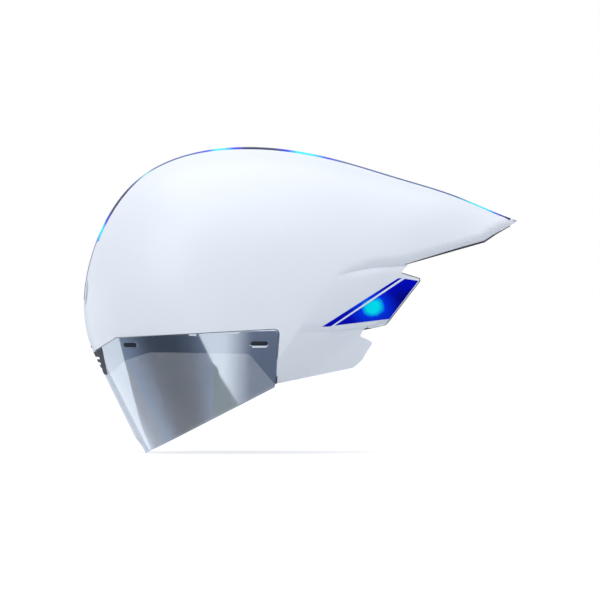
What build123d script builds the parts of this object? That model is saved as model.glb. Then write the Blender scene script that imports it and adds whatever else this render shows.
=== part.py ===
from build123d import *
import math
import os

# An aero time trial helmet as it is worn: nose towards -X, +Z up, the wearer's left at -Y.
# The origin is the middle of the head, between the temples. Millimetres.

# Driving sizes of the outside
helmet_length = 364.0
helmet_height = 257.0
helmet_width = 206.0
shell_wall = 1.8
mid_fin_tuck = 5.0
ear_fin_tuck = 9.0

# Driving sizes of the head and its padding
head_length = 194.0
head_breadth = 154.0
head_end_radius = 68.0
pad_depth = 5.0
seat_gap = 0.3

# Visor
lens_wall = 1.8
lens_gap = 0.3
lens_edge_gap = 0.5
pill_length = 14.0
pill_width = 3.4
pill_gap = 0.1
nose_width = 64.0
nose_height = 13.0

# Vents and black trim
vent_gap = 0.2
vent_lip = 2.0
slit_height = 2.2
slit_pitch = 4.6
intake_height = 24.0
intake_width = 11.0
intake_spacing = 40.0
grille_depth = 1.2
grille_slit = 1.6
grille_pitch = 3.6
backing_wall = 1.6
backing_reveal = 0.7
underpanel_wall = 1.8
exhaust_width = 30.0
exhaust_length = 26.0
channel_width = 13.0
channel_depth = 7.0
port_width = 18.0
port_height = 16.0
port_spacing = 44.0
port_level = 38.8
port_share = 0.8

# Comfort pads
brow_pad_height = 26.0
brow_pad_share = 0.86
crown_pad_width = 17.0
crown_pad_length = 104.0
crown_pad_spacing = 37.0
temple_pad_length = 56.0
temple_pad_height = 26.0
temple_pad_lift = 29.2
pad_corner = 6.0
hook_half_width = 6.0
hook_depth = 1.0
brow_hook_share = 0.22

# Retention cradle and dial
dial_drop = 33.0
plate_reach = 91.5
plate_wall = 2.2
plate_half_length = 31.0
plate_corner = 5.0
rail_wall = 2.7
rail_lip = 2.3
band_wall = 2.0
band_play = 0.2
band_travel = 8.0
band_width = 12.4
arm_share = 0.4
band_tip_width = 11.0
band_leave = 38.0
band_turn_x = 64.0
temple_x = -16.0
temple_z = 8.0
temple_pin_radius = 2.5
pin_hold = 4.5
pin_end_gap = 2.5
socket_wall = 2.9
socket_bore_gap = 0.3
socket_floor = 1.5
wing_wall = 2.5
wing_reach = 41.0
wing_height = 25.0
post_spacing = 48.0
post_radius = 2.0
cover_wall = 1.6
tooth_count = 9
module = 1.0
tooth_share = 0.38
tip_share = 0.19
root_share = 1.3
addendum_share = 0.4
tooth_foot_share = 0.7
rack_tooth_height = 1.8
rack_back = 4.0
rack_end = 4.5
knob_radius = 13.0
knob_depth = 8.0
knob_gap = 0.4
knob_wall = 2.2
knob_cavity_depth = 2.6
scallop_count = 10
scallop_radius = 2.4
detent_count = 12
detent_radius = 0.7
spring_wall = 0.8
spring_height = 1.6
spring_span_share = 0.72
spring_drop_share = 0.2
spring_bump_share = 0.8
shaft_radius = 3.0
pivot_radius = 1.5
running_gap = 0.15
screw_head_radius = 2.6
screw_head_height = 1.6
screw_shank_radius = 1.0
stem_half_width = 7.0
stem_wall = 2.0
stem_reach = 115.3
stem_top_deg = 9.5
stem_hole_radius = 1.3
stem_hole_count = 4
bracket_wall = 1.4
bracket_height = 14.0
tilt_up_deg = 3.0
tilt_spare_deg = 1.0

# Straps, dividers and buckle
web_width = 15.0
web_wall = 1.2
strap_front = (44.0, -86.0)
strap_rear = (100.3, -65.4)
strap_top = -40.5
front_leg_rise = 14.0
rear_leg_rise = 42.0
rear_leg_width = 13.0
fold_length = 26.0
fold_pitch = 3.0
fold_radius = 1.2
anchor_height = 3.0
anchor_depth = 5.0
anchor_overhang = 1.0
divider_start = 29.0
divider_length = 16.0
divider_wall = 1.6
lever_wall = 2.4
lever_pin_radius = 0.9
lever_barrel_radius = 1.7
buckle_length = 26.0
buckle_wall = 4.4
buckle_prong = 2.2
tongue_open_share = 0.8
socket_open_share = 0.9
keeper_wall = 0.8
keeper_length = 4.0
keeper_place_share = 0.72

# Places in the side view: shares of the length from the nose and of the height from the lowest edge
seat_share = (0.342, 0.496)
pivot_share = (0.341, 0.082)

# Hoops from front to back: crest place, width, shoulder height, crown and side fullness, hem width
hoop_shares = [
    (0.062, 0.206, 0.86, 0.10, 0.60, 0.50, 0.85),
    (0.005, 0.402, 0.90, 0.10, 0.61, 0.52, 0.87),
    (0.021, 0.663, 0.96, 0.17, 0.61, 0.55, 0.89),
    (0.131, 0.902, 0.99, 0.34, 0.60, 0.55, 0.90),
    (0.341, 0.998, 1.00, 0.44, 0.56, 0.50, 0.90),
    (0.567, 0.964, 0.99, 0.43, 0.50, 0.44, 0.89),
    (0.729, 0.897, 0.965, 0.40, 0.44, 0.38, 0.87),
    (0.857, 0.840, 0.93, 0.36, 0.38, 0.34, 0.85),
    (0.995, 0.761, 0.88, 0.31, 0.30, 0.30, 0.82),
    (1.111, 0.458, 0.84, 0.26, 0.28, 0.28, 0.80),
]
hem_rise_share = 0.07
shoulder_over_hem_share = 1.3
tuck_shares = [-0.3, -0.3, -0.3, -0.3, -0.3, -0.25, 0.0, 0.5, 1.0, 1.45]

shell_hem_shares = [
    (-0.055, 0.255), (0.053, 0.255), (0.067, 0.275), (0.090, 0.301), (0.159, 0.332), (0.382, 0.327),
    (0.440, 0.229), (0.619, 0.281), (0.637, 0.302), (0.664, 0.363), (0.634, 0.382), (0.643, 0.408),
    (0.691, 0.422), (0.703, 0.438), (0.771, 0.562), (0.770, 0.569), (0.727, 0.587), (0.742, 0.615),
    (0.922, 0.690), (0.949, 0.716), (1.000, 0.758), (1.051, 0.810), (1.051, 1.121), (-0.055, 1.121),
]
mid_fin_shares = [
    (0.475, 0.542), (0.578, 0.572), (0.664, 0.595), (0.728, 0.624), (0.889, 0.696), (0.970, 0.742),
    (1.189, 0.859), (1.189, -0.056), (0.475, -0.056),
]
ear_fin_shares = [
    (0.429, 0.392), (0.567, 0.402), (0.647, 0.412), (0.703, 0.438), (0.797, 0.480),
    (1.189, 0.480), (1.189, -0.056), (0.429, -0.056),
]
lens_outline_shares = [
    (-0.055, 0.271), (0.023, 0.330), (0.044, 0.348), (0.078, 0.377), (0.429, 0.400), (0.452, 0.382),
    (0.441, 0.219), (0.141, 0.000), (-0.055, -0.020),
]
# Level, front, width at the widest place and width at the rear edge of the visor's form
lens_level_shares = [(0.422, -0.011, 0.998, 0.982), (-0.006, 0.136, 0.907, 0.785)]
lens_widest_share = 0.307
lens_rear_share = 0.471
brow_vent_shares = [(-0.055, 0.330), (0.022, 0.330), (0.044, 0.346), (0.055, 0.257), (-0.055, 0.257)]
liner_shares = [
    (-0.078, 0.340), (0.152, 0.350), (0.475, 0.350), (0.520, 0.402), (0.537, 0.452), (0.601, 0.480),
    (0.641, 0.515), (0.700, 0.605), (0.700, 1.186), (-0.078, 1.186),
]
tail_line_shares = [(0.705, 0.618), (0.742, 0.618), (0.922, 0.690), (0.949, 0.716), (0.985, 0.745)]
backing_shares = [
    (0.636, 0.440), (0.643, 0.408), (0.691, 0.422), (0.703, 0.438), (0.771, 0.562), (0.770, 0.569),
    (0.727, 0.587), (0.722, 0.605), (0.684, 0.560), (0.655, 0.520),
]
pill_shares = [(0.104, 0.355), (0.406, 0.360)]
intake_level_share = 0.525
crescent_share = 0.4
slit_width_shares = (0.26, 0.20, 0.13)
grille_middle_share = 0.12
grille_slit_share = 0.42
exhaust_place_share = 0.83


def side(x_share, z_share):
    """A place in the side view, from its shares of the helmet's length and height."""
    x = (x_share - seat_share[0]) * helmet_length
    z = (z_share - seat_share[1]) * helmet_height
    return x, z


def slab(outline_shares, grow=0.0):
    """A block with the given outline in the side view, right across the helmet."""
    with BuildPart() as block:
        with BuildSketch(Plane.XZ):
            with BuildLine():
                Polyline([side(*share) for share in outline_shares], close=True)
            make_face()
            if grow:
                offset(amount=grow, kind=Kind.INTERSECTION)
        extrude(amount=helmet_width, both=True)
    return block.part


def hull(inset, tuck=0.0):
    """The smooth form of the shell, lofted through hoops that fan out from a line between the ears."""
    pivot_x, pivot_z = side(*pivot_share)
    with BuildPart() as form:
        for shares, tuck_share in reversed(list(zip(hoop_shares, tuck_shares))):
            crest_x, crest_z = side(shares[0], shares[1])
            width_share, shoulder_share, crown_share, side_share, hem_share = shares[2:]
            full_reach = math.hypot(crest_x - pivot_x, crest_z - pivot_z)
            depth = inset + tuck * tuck_share
            reach = full_reach - depth
            width = helmet_width / 2 * width_share - depth
            hem_width = helmet_width / 2 * hem_share - depth
            hem = full_reach * hem_rise_share
            shoulder = full_reach * max(shoulder_share, hem_rise_share * shoulder_over_hem_share)
            fall = reach - shoulder
            normal = Vector(0, 1, 0).cross(Vector(crest_x - pivot_x, 0, crest_z - pivot_z))
            with BuildSketch(Plane(origin=(pivot_x, 0, pivot_z), x_dir=(0, 1, 0), z_dir=normal)):
                with BuildLine():
                    Bezier((0, reach), (crown_share * width, reach),
                           (width, shoulder + side_share * fall), (width, shoulder))
                    Bezier((width, shoulder), (width, (shoulder + hem) / 2), (hem_width, hem))
                    Line((hem_width, hem), (-hem_width, hem))
                    Bezier((-hem_width, hem), (-width, (shoulder + hem) / 2), (-width, shoulder))
                    Bezier((-width, shoulder), (-width, shoulder + side_share * fall),
                           (-crown_share * width, reach), (0, reach))
                make_face()
        loft()
    return form.part


def lens_form(inset):
    """The solid whose outside is the face of the visor, set in by the given amount."""
    with BuildPart() as form:
        for z_share, front_share, side_share, rear_share in lens_level_shares:
            front, level = side(front_share, z_share)
            widest = side(lens_widest_share, z_share)[0]
            rear = side(lens_rear_share, z_share)[0]
            half = helmet_width / 2 * side_share - inset
            rear_half = helmet_width / 2 * rear_share - inset
            with BuildSketch(Plane.XY.offset(level)):
                with BuildLine():
                    EllipticalCenterArc((widest, 0), widest - front - inset, half, 90, arc_size=180)
                    Polyline((widest, -half), (rear, -rear_half), (rear, rear_half), (widest, half))
                make_face()
        loft(ruled=True)
    return form.part


def lens_skin(outer, inner):
    """A curved sheet of the visor's form, between two insets."""
    with BuildPart() as sheet:
        add(lens_form(outer))
        add(lens_form(inner), mode=Mode.SUBTRACT)
    return sheet.part


def tucked_away(inset, outline_shares, tuck):
    """What a fin loses below its crease, so that it tucks in under the fin above."""
    with BuildPart() as cut:
        add(slab(outline_shares, inset))
        add(hull(inset, tuck), mode=Mode.SUBTRACT)
    return cut.part


def visor_recess(inset):
    """What the shell loses behind the visor, so that the visor lies flush."""
    with BuildPart() as cut:
        add(slab(lens_outline_shares, lens_edge_gap + inset))
        add(lens_form(lens_wall + lens_gap + inset), mode=Mode.SUBTRACT)
    return cut.part


def envelope(inset):
    """The whole outside of the helmet with its fins and visor recess, set in by the given amount."""
    with BuildPart() as form:
        add(hull(inset))
        add(tucked_away(inset, mid_fin_shares, mid_fin_tuck), mode=Mode.SUBTRACT)
        add(tucked_away(inset, ear_fin_shares, ear_fin_tuck), mode=Mode.SUBTRACT)
        add(visor_recess(inset), mode=Mode.SUBTRACT)
    return form.part


def half_oval(grow):
    """The back half of the head's oval seen from above: an end arc between two longer side arcs."""
    end_middle = head_length / 2 - head_end_radius
    half_breadth = head_breadth / 2
    side_radius = (end_middle ** 2 + half_breadth ** 2 - head_end_radius ** 2) / 2
    side_radius /= half_breadth - head_end_radius
    side_middle = half_breadth - side_radius
    turn = math.degrees(math.atan2(-side_middle, end_middle))
    with BuildSketch(mode=Mode.PRIVATE) as half:
        with BuildLine():
            CenterArc((end_middle, 0), head_end_radius + grow, -turn, 2 * turn)
            left = CenterArc((0, side_middle), side_radius + grow, turn, 90 - turn)
            right = CenterArc((0, -side_middle), side_radius + grow, -90, 90 - turn)
            Line(left @ 1, right @ 0)
        make_face()
    return half.sketch


def head_form(grow, open_below=False):
    """A head, grown by the given amount, and the way in from below where that is asked for."""
    with BuildPart() as form:
        with BuildSketch():
            add(half_oval(grow))
        revolve(axis=Axis.Y)
        if open_below:
            with BuildSketch():
                add(half_oval(grow))
                mirror(about=Plane.YZ)
            extrude(amount=-helmet_height)
    return form.part


def head_skin(outer, inner):
    """A layer round the head between two growths."""
    with BuildPart() as layer:
        add(head_form(outer))
        add(head_form(inner), mode=Mode.SUBTRACT)
    return layer.part


def mirrored(solid):
    """The same piece for the other side of the helmet."""
    with BuildPart() as other:
        mirror(solid, about=Plane.XZ)
    return other.part


def finish(builder, name):
    """Label a finished piece and write it."""
    builder.part.label = name
    export_step(builder.part, f"parts/{name}.step")


os.makedirs("parts", exist_ok=True)

outer_form = envelope(0)
wall_form = envelope(shell_wall)
liner_form = envelope(shell_wall + seat_gap)

# Openings of the shell

recess_depth = lens_wall + lens_gap


def intake_plane(sign):
    """The plane that one front intake is drawn on, facing forwards."""
    height = side(0, intake_level_share)[1]
    return Plane(origin=(0, sign * intake_spacing / 2, height), x_dir=(0, 1, 0), z_dir=(-1, 0, 0))


def intake_cutter(shrink):
    """Both crescent intakes as blocks through the front of the helmet."""
    with BuildPart() as blocks:
        for sign in (-1, 1):
            with BuildSketch(intake_plane(sign)):
                with BuildLine():
                    tall = intake_height / 2 - shrink
                    wide = intake_width / 2 - shrink
                    upper, lower = (-wide * sign, tall), (-wide * sign, -tall)
                    ThreePointArc(upper, (wide * sign, 0), lower)
                    ThreePointArc(lower, (-wide * sign * crescent_share, 0), upper)
                make_face()
            extrude(amount=helmet_length)
    return blocks.part


def brow_block(shrink):
    """The wedge at the top front of the visor that the brow vent fills."""
    return slab(brow_vent_shares, -shrink)


def pill_blocks(grow):
    """Four magnet pills, standing square to the visor at their places."""
    with BuildPart() as blocks:
        for x_share, z_share in pill_shares:
            x, z = side(x_share, z_share)
            top = lens_level_shares[0]
            front = side(top[1], 0)[0]
            widest = side(lens_widest_share, 0)[0]
            half = helmet_width / 2 * top[2]
            long_radius = widest - front
            ahead = min(max((widest - x) / long_radius, 0), 1)
            y = half * math.sqrt(1 - ahead * ahead)
            out_x = -ahead / long_radius
            out_y = y / half / half
            for sign in (-1, 1):
                normal = Vector(out_x, sign * out_y, 0).normalized()
                along = Vector(0, 0, 1).cross(normal)
                with BuildSketch(Plane(origin=(x, sign * y, z), x_dir=along, z_dir=normal)):
                    SlotOverall(pill_length + 2 * grow, pill_width + 2 * grow)
                extrude(amount=pill_length, both=True)
    return blocks.part


def brow_slits():
    """Three level slits through the brow vent."""
    top = side(*brow_vent_shares[1])[1]
    with BuildPart() as slits:
        for row, width_share in enumerate(slit_width_shares):
            height = top - vent_lip * 2 - row * slit_pitch - slit_height / 2
            with BuildSketch(Plane.YZ):
                with Locations((0, height)):
                    SlotOverall(helmet_width * width_share, slit_height)
            extrude(amount=-helmet_length)
    return slits.part


with BuildPart() as outer_shell:
    add(slab(shell_hem_shares))
    add(outer_form, mode=Mode.INTERSECT)
    add(wall_form, mode=Mode.SUBTRACT)
    add(intake_cutter(0), mode=Mode.SUBTRACT)
    add(pill_blocks(pill_gap), mode=Mode.SUBTRACT)
with BuildPart() as brow_hole:
    add(brow_block(vent_lip - vent_gap))
    add(lens_skin(-lens_wall, recess_depth + shell_wall * 2), mode=Mode.INTERSECT)
with BuildPart() as trimmed_shell:
    add(outer_shell.part)
    add(brow_hole.part, mode=Mode.SUBTRACT)
finish(trimmed_shell, "outer_shell")

with BuildPart() as brow_vent:
    add(brow_block(vent_gap))
    add(lens_skin(0, recess_depth - vent_gap / 2), mode=Mode.INTERSECT)
with BuildPart() as brow_plug:
    add(brow_block(vent_lip))
    add(lens_skin(lens_wall / 2, recess_depth + shell_wall), mode=Mode.INTERSECT)
with BuildPart() as brow_grille:
    add(brow_vent.part)
    add(brow_plug.part)
    add(brow_slits(), mode=Mode.SUBTRACT)
finish(brow_grille, "brow_vent")

with BuildPart() as intake_grilles:
    add(hull(grille_depth / 2))
    add(intake_cutter(vent_gap), mode=Mode.INTERSECT)
    add(hull(shell_wall), mode=Mode.SUBTRACT)
    slit_rows = int(intake_height / grille_pitch / 2)
    for row in range(-slit_rows, slit_rows + 1):
        with BuildSketch(Plane.YZ):
            with Locations((0, side(0, intake_level_share)[1] + row * grille_pitch)):
                for sign in (-1, 1):
                    with Locations((sign * (intake_spacing / 2 + intake_width * grille_middle_share), 0)):
                        SlotOverall(intake_width * grille_slit_share, grille_slit)
        extrude(amount=-helmet_length, mode=Mode.SUBTRACT)
finish(intake_grilles, "intake_grilles")

with BuildPart() as shell_magnets:
    add(lens_skin(recess_depth, recess_depth + shell_wall))
    add(pill_blocks(0), mode=Mode.INTERSECT)
finish(shell_magnets, "shell_magnets")

# Visor

with BuildPart() as visor_lens:
    add(lens_skin(0, lens_wall))
    add(slab(lens_outline_shares), mode=Mode.INTERSECT)
    add(brow_block(-vent_gap), mode=Mode.SUBTRACT)
    add(pill_blocks(pill_gap), mode=Mode.SUBTRACT)
    with BuildSketch(Plane.YZ):
        with Locations((0, side(0, 0)[1])):
            Ellipse(nose_width / 2, nose_height)
    extrude(amount=-helmet_length, mode=Mode.SUBTRACT)
finish(visor_lens, "visor_lens")

with BuildPart() as visor_magnets:
    add(lens_skin(0, lens_wall))
    add(pill_blocks(0), mode=Mode.INTERSECT)
finish(visor_magnets, "visor_magnets")

# Black panels of the tail and fins

with BuildPart() as tail_block:
    with BuildSketch(Plane.XZ):
        with BuildLine():
            line_points = [side(*share) for share in tail_line_shares]
            lower = [(x, z - backing_reveal) for x, z in line_points]
            upper = [(x, z + underpanel_wall) for x, z in reversed(line_points)]
            Polyline(lower + upper, close=True)
        make_face()
    extrude(amount=helmet_width, both=True)
with BuildPart() as tail_underpanel:
    add(tail_block.part)
    add(liner_form, mode=Mode.INTERSECT)
    with BuildSketch():
        with Locations((side(exhaust_place_share, 0)[0], 0)):
            RectangleRounded(exhaust_length, exhaust_width, pad_corner)
    extrude(amount=helmet_height, mode=Mode.SUBTRACT)
finish(tail_underpanel, "tail_underpanel")

with BuildPart() as fin_lining:
    add(slab(backing_shares, backing_reveal))
    add(liner_form, mode=Mode.INTERSECT)
    add(envelope(shell_wall + seat_gap + backing_wall), mode=Mode.SUBTRACT)
for name, sign in (("left_fin_backing", -1), ("right_fin_backing", 1)):
    with BuildPart() as fin_backing:
        add(fin_lining.part)
        split(bisect_by=Plane.XZ, keep=Keep.TOP if sign < 0 else Keep.BOTTOM)
    finish(fin_backing, name)

# Foam liner

rack_x = plate_reach + plate_wall + band_play + band_wall / 2
dial_z = -dial_drop
strap_angle = math.atan2(strap_rear[1] - strap_front[1], strap_rear[0] - strap_front[0])
strap_along = Vector(math.cos(strap_angle), math.sin(strap_angle), 0)
strap_in = Vector(-math.sin(strap_angle), math.cos(strap_angle), 0)
strap_length = math.hypot(strap_rear[0] - strap_front[0], strap_rear[1] - strap_front[1])
# Upright along the wearer's left wall, and level at the top edge of the webbing
strap_wall_plane = Plane(origin=(*strap_front, strap_top), x_dir=strap_along, z_dir=-strap_in)
strap_level_plane = Plane(origin=(*strap_front, strap_top), x_dir=strap_along, z_dir=(0, 0, 1))


def webbing_run(grow):
    """The legs of the left strap and the run that joins them, flat along the wall."""
    with BuildPart() as run:
        with BuildSketch(strap_wall_plane.offset(grow)):
            with Locations((strap_length / 2, -web_width / 2)):
                Rectangle(strap_length + 2 * grow, web_width + 2 * grow)
            with Locations((web_width / 2, (front_leg_rise - web_width) / 2)):
                Rectangle(web_width + 2 * grow, front_leg_rise + web_width + 2 * grow)
            with Locations((strap_length - rear_leg_width / 2, (rear_leg_rise - web_width) / 2)):
                Rectangle(rear_leg_width + 2 * grow, rear_leg_rise + web_width + 2 * grow)
        extrude(amount=-web_wall - 2 * grow)
    return run.part


def anchor_blocks(grow):
    """The bars that hold the two leg ends of the left strap in the foam."""
    with BuildPart() as blocks:
        for middle, rise, width in ((web_width / 2, front_leg_rise, web_width),
                                    (strap_length - rear_leg_width / 2, rear_leg_rise, rear_leg_width)):
            with BuildSketch(strap_wall_plane.offset(-web_wall / 2)):
                with Locations((middle, rise + anchor_height / 2)):
                    RectangleRounded(width + 2 * (anchor_overhang + grow), anchor_height + 2 * grow,
                                     anchor_height / 3)
            extrude(amount=anchor_depth / 2 + grow, both=True)
    return blocks.part


def webbing_slots():
    """The clearance that the left strap and its anchors need in the foam."""
    with BuildPart() as slots:
        add(webbing_run(seat_gap))
        add(anchor_blocks(seat_gap))
    return slots.part


def temple_axle(radius, start, length):
    """A round bar on the temple axis, on both sides of the head."""
    with BuildPart() as bars:
        for sign in (-1, 1):
            middle = (temple_x, sign * start, temple_z)
            with BuildSketch(Plane(origin=middle, x_dir=(1, 0, 0), z_dir=(0, sign, 0))):
                Circle(radius)
            extrude(amount=length)
    return bars.part


def stem_sector(inner, outer, low_deg, high_deg, half_width):
    """A curved bar about the temple axis, behind the head."""
    with BuildPart() as sector:
        with BuildSketch(Plane.XZ):
            with BuildLine():
                inner_arc = CenterArc((temple_x, temple_z), inner, low_deg, high_deg - low_deg)
                outer_arc = CenterArc((temple_x, temple_z), outer, low_deg, high_deg - low_deg)
                Line(inner_arc @ 0, outer_arc @ 0)
                Line(inner_arc @ 1, outer_arc @ 1)
            make_face()
        extrude(amount=half_width, both=True)
    return sector.part


def pad_blocks(shrink):
    """Where the brow, crown and temple pads lie, as blocks through the head."""
    blocks = {}
    with BuildPart() as brow:
        with BuildSketch(Plane.YZ):
            with Locations((0, brow_pad_height / 6)):
                RectangleRounded(head_breadth * brow_pad_share - 2 * shrink,
                                 brow_pad_height - 2 * shrink, pad_corner)
        extrude(amount=-head_length)
    blocks["brow_pad"] = brow.part
    with BuildPart() as crown:
        with BuildSketch():
            with Locations((0, crown_pad_spacing / 2), (0, -crown_pad_spacing / 2)):
                RectangleRounded(crown_pad_length - 2 * shrink, crown_pad_width - 2 * shrink, pad_corner)
        extrude(amount=head_length)
    blocks["crown_pads"] = crown.part
    with BuildPart() as temple:
        with BuildSketch(Plane.XZ):
            with Locations((0, temple_z + temple_pad_lift)):
                RectangleRounded(temple_pad_length - 2 * shrink,
                                 temple_pad_height - 2 * shrink, pad_corner)
        extrude(amount=head_length, both=True)
    blocks["temple_pads"] = temple.part
    return blocks


def hook_blocks(grow):
    """Square hook tabs behind every pad."""
    wide = 2 * (hook_half_width + grow)
    with BuildPart() as blocks:
        with BuildSketch(Plane.YZ):
            with Locations((head_breadth * brow_hook_share, brow_pad_height / 3),
                           (-head_breadth * brow_hook_share, brow_pad_height / 3)):
                Rectangle(wide, wide)
        extrude(amount=-head_length)
        with BuildSketch():
            for sign in (-1, 1):
                with Locations((crown_pad_length / 3, sign * crown_pad_spacing / 2),
                               (-crown_pad_length / 3, sign * crown_pad_spacing / 2)):
                    Rectangle(wide, wide)
        extrude(amount=head_length)
        with BuildSketch(Plane.XZ):
            with Locations((0, temple_z + temple_pad_lift)):
                Rectangle(wide, wide)
        extrude(amount=head_length, both=True)
    return blocks.part


bracket_inner = stem_reach - stem_wall / 2 - seat_gap - bracket_wall
bracket_outer = stem_reach + stem_wall / 2 + seat_gap + bracket_wall
bracket_half_deg = math.degrees(bracket_height / stem_reach / 2)
stem_clear_deg = stem_top_deg + tilt_up_deg + tilt_spare_deg
temple_ahead = math.hypot(temple_x, temple_z) / (head_length / 2 + pad_depth)
socket_start = (head_breadth / 2 + pad_depth) * math.sqrt(1 - temple_ahead ** 2) + 2 * seat_gap
socket_radius = temple_pin_radius + socket_bore_gap + socket_wall
arm_long = head_length / 2 + pad_depth * arm_share
arm_half = head_breadth / 2 + pad_depth * arm_share
pin_start = arm_half * math.sqrt(1 - (temple_x / arm_long) ** 2) - band_wall / 4
pin_length = band_travel + pin_hold
socket_depth = pin_start + pin_length + pin_end_gap + socket_floor - socket_start

with BuildPart() as channels:
    add(head_form(pad_depth + channel_depth))
    with BuildSketch():
        for place in (-port_spacing, 0, port_spacing):
            with Locations((0, place)):
                Rectangle(helmet_length, channel_width)
    extrude(amount=head_length, mode=Mode.INTERSECT)

with BuildPart() as hook_pockets:
    add(head_form(pad_depth + hook_depth + seat_gap))
    add(hook_blocks(seat_gap), mode=Mode.INTERSECT)

with BuildPart() as foam_liner:
    add(liner_form)
    add(slab(liner_shares), mode=Mode.INTERSECT)
    add(head_form(pad_depth, open_below=True), mode=Mode.SUBTRACT)
    add(channels.part, mode=Mode.SUBTRACT)
    add(hook_pockets.part, mode=Mode.SUBTRACT)
    with BuildSketch(Plane.YZ):
        with Locations((-port_spacing / 2, port_level), (port_spacing / 2, port_level)):
            RectangleRounded(port_width, port_height, channel_width / 4)
    extrude(amount=helmet_length, mode=Mode.SUBTRACT)
    with BuildSketch(Plane.YZ):
        with Locations((-intake_spacing / 2, side(0, intake_level_share)[1]),
                       (intake_spacing / 2, side(0, intake_level_share)[1])):
            RectangleRounded(intake_width, intake_height * port_share, channel_width / 4)
    extrude(amount=-helmet_length, mode=Mode.SUBTRACT)
    add(temple_axle(socket_radius + seat_gap, 0, socket_start + socket_depth + seat_gap),
        mode=Mode.SUBTRACT)
    add(stem_sector(bracket_inner - seat_gap, bracket_outer + seat_gap, -bracket_half_deg / 2,
                    bracket_half_deg * 5 / 2, stem_half_width + bracket_wall + 3 * seat_gap),
        mode=Mode.SUBTRACT)
    add(stem_sector(stem_reach - stem_wall, stem_reach + stem_wall, -stem_clear_deg * 2,
                    stem_clear_deg, stem_half_width + seat_gap * 2), mode=Mode.SUBTRACT)
    left_slots = webbing_slots()
    add(left_slots, mode=Mode.SUBTRACT)
    add(mirrored(left_slots), mode=Mode.SUBTRACT)
finish(foam_liner, "foam_liner")

# Comfort pads and their hook tabs

pad_layer = head_skin(pad_depth - seat_gap, 0)
for name, block in pad_blocks(0).items():
    with BuildPart() as pad:
        add(pad_layer)
        add(block, mode=Mode.INTERSECT)
    finish(pad, name)

with BuildPart() as pad_hooks:
    add(head_skin(pad_depth + hook_depth, pad_depth))
    add(hook_blocks(0), mode=Mode.INTERSECT)
finish(pad_hooks, "pad_hooks")

# Temple sockets in the foam

with BuildPart() as temple_sockets:
    add(temple_axle(socket_radius, socket_start, socket_depth))
    add(temple_axle(temple_pin_radius + socket_bore_gap, 0, socket_start + socket_depth - socket_floor),
        mode=Mode.SUBTRACT)
finish(temple_sockets, "temple_sockets")

with BuildPart() as hanger_bracket:
    add(stem_sector(bracket_inner, bracket_outer, 0, bracket_half_deg * 2,
                    stem_half_width + bracket_wall + 2 * seat_gap))
    add(stem_sector(stem_reach - stem_wall / 2 - seat_gap, stem_reach + stem_wall / 2 + seat_gap,
                    -bracket_half_deg, bracket_half_deg * 3, stem_half_width + seat_gap),
        mode=Mode.SUBTRACT)
finish(hanger_bracket, "hanger_bracket")

# Retention cradle: plate, rails, wings and the hanger stem

pitch_radius = module * tooth_count / 2
tooth_pitch = math.pi * module
rack_tip = pitch_radius - rack_tooth_height * addendum_share
rack_root = rack_tip + rack_tooth_height
rack_top = rack_root + rack_back
rail_low = rack_top + seat_gap
rail_high = rail_low + rail_wall
cover_x = plate_reach + plate_wall + band_wall + 2 * band_play
wing_base = dial_z + rail_high + 2 * seat_gap


def dial_plane(x):
    """A plane across the dial's axis at the given depth, facing backwards."""
    return Plane(origin=(x, 0, dial_z), x_dir=(0, 1, 0), z_dir=(1, 0, 0))


with BuildPart() as wings:
    for sign in (-1, 1):
        with BuildSketch(Plane.YZ):
            with Locations((sign * (wing_reach - wing_height / 2), wing_base + wing_height / 2)):
                Circle(wing_height / 2)
            with Locations((sign * stem_half_width, wing_base + wing_height / 4)):
                Circle(wing_height / 4)
            make_hull()
    extrude(amount=head_length)
    add(head_skin(wing_wall + seat_gap, seat_gap), mode=Mode.INTERSECT)

with BuildPart() as retention_cradle:
    with BuildSketch(dial_plane(plate_reach)):
        RectangleRounded(2 * plate_half_length, 2 * rail_high, plate_corner)
        Circle(pivot_radius + running_gap, mode=Mode.SUBTRACT)
    extrude(amount=plate_wall)
    with BuildSketch(dial_plane(plate_reach)):
        for sign in (-1, 1):
            with Locations((0, sign * (rail_low + rail_wall / 2))):
                Rectangle(2 * (plate_half_length - plate_corner), rail_wall)
        with Locations((0, rail_high + rail_lip / 2)):
            Rectangle(2 * (plate_half_length - plate_corner), rail_lip)
    extrude(amount=cover_x - plate_reach)
    with BuildSketch(dial_plane(plate_reach)):
        with Locations((-post_spacing / 2, 0), (post_spacing / 2, 0)):
            Circle(post_radius)
    extrude(amount=cover_x - plate_reach)
    add(wings.part)
    add(stem_sector(stem_reach - stem_wall / 2, stem_reach + stem_wall / 2,
                    -math.degrees(math.asin((temple_z - wing_base) / stem_reach)), stem_top_deg,
                    stem_half_width))
    for hole in range(stem_hole_count):
        drop = math.radians(stem_top_deg - (hole + 1) * stem_top_deg / stem_hole_count)
        with BuildSketch(Plane.YZ):
            with Locations((0, temple_z + stem_reach * math.sin(drop))):
                Circle(stem_hole_radius)
        extrude(amount=helmet_length, mode=Mode.SUBTRACT)
    with BuildSketch(dial_plane(plate_reach)):
        with Locations((-post_spacing / 2, 0), (post_spacing / 2, 0)):
            Circle(screw_shank_radius + running_gap)
    extrude(amount=cover_x - plate_reach, mode=Mode.SUBTRACT)
finish(retention_cradle, "retention_cradle")

with BuildPart() as cradle_cover:
    with BuildSketch(dial_plane(cover_x)):
        RectangleRounded(2 * plate_half_length, 2 * rail_high, plate_corner)
        Circle(shaft_radius + running_gap, mode=Mode.SUBTRACT)
        with Locations((-post_spacing / 2, 0), (post_spacing / 2, 0)):
            Circle(screw_shank_radius + running_gap, mode=Mode.SUBTRACT)
    extrude(amount=cover_wall)
finish(cradle_cover, "cradle_cover")

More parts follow.
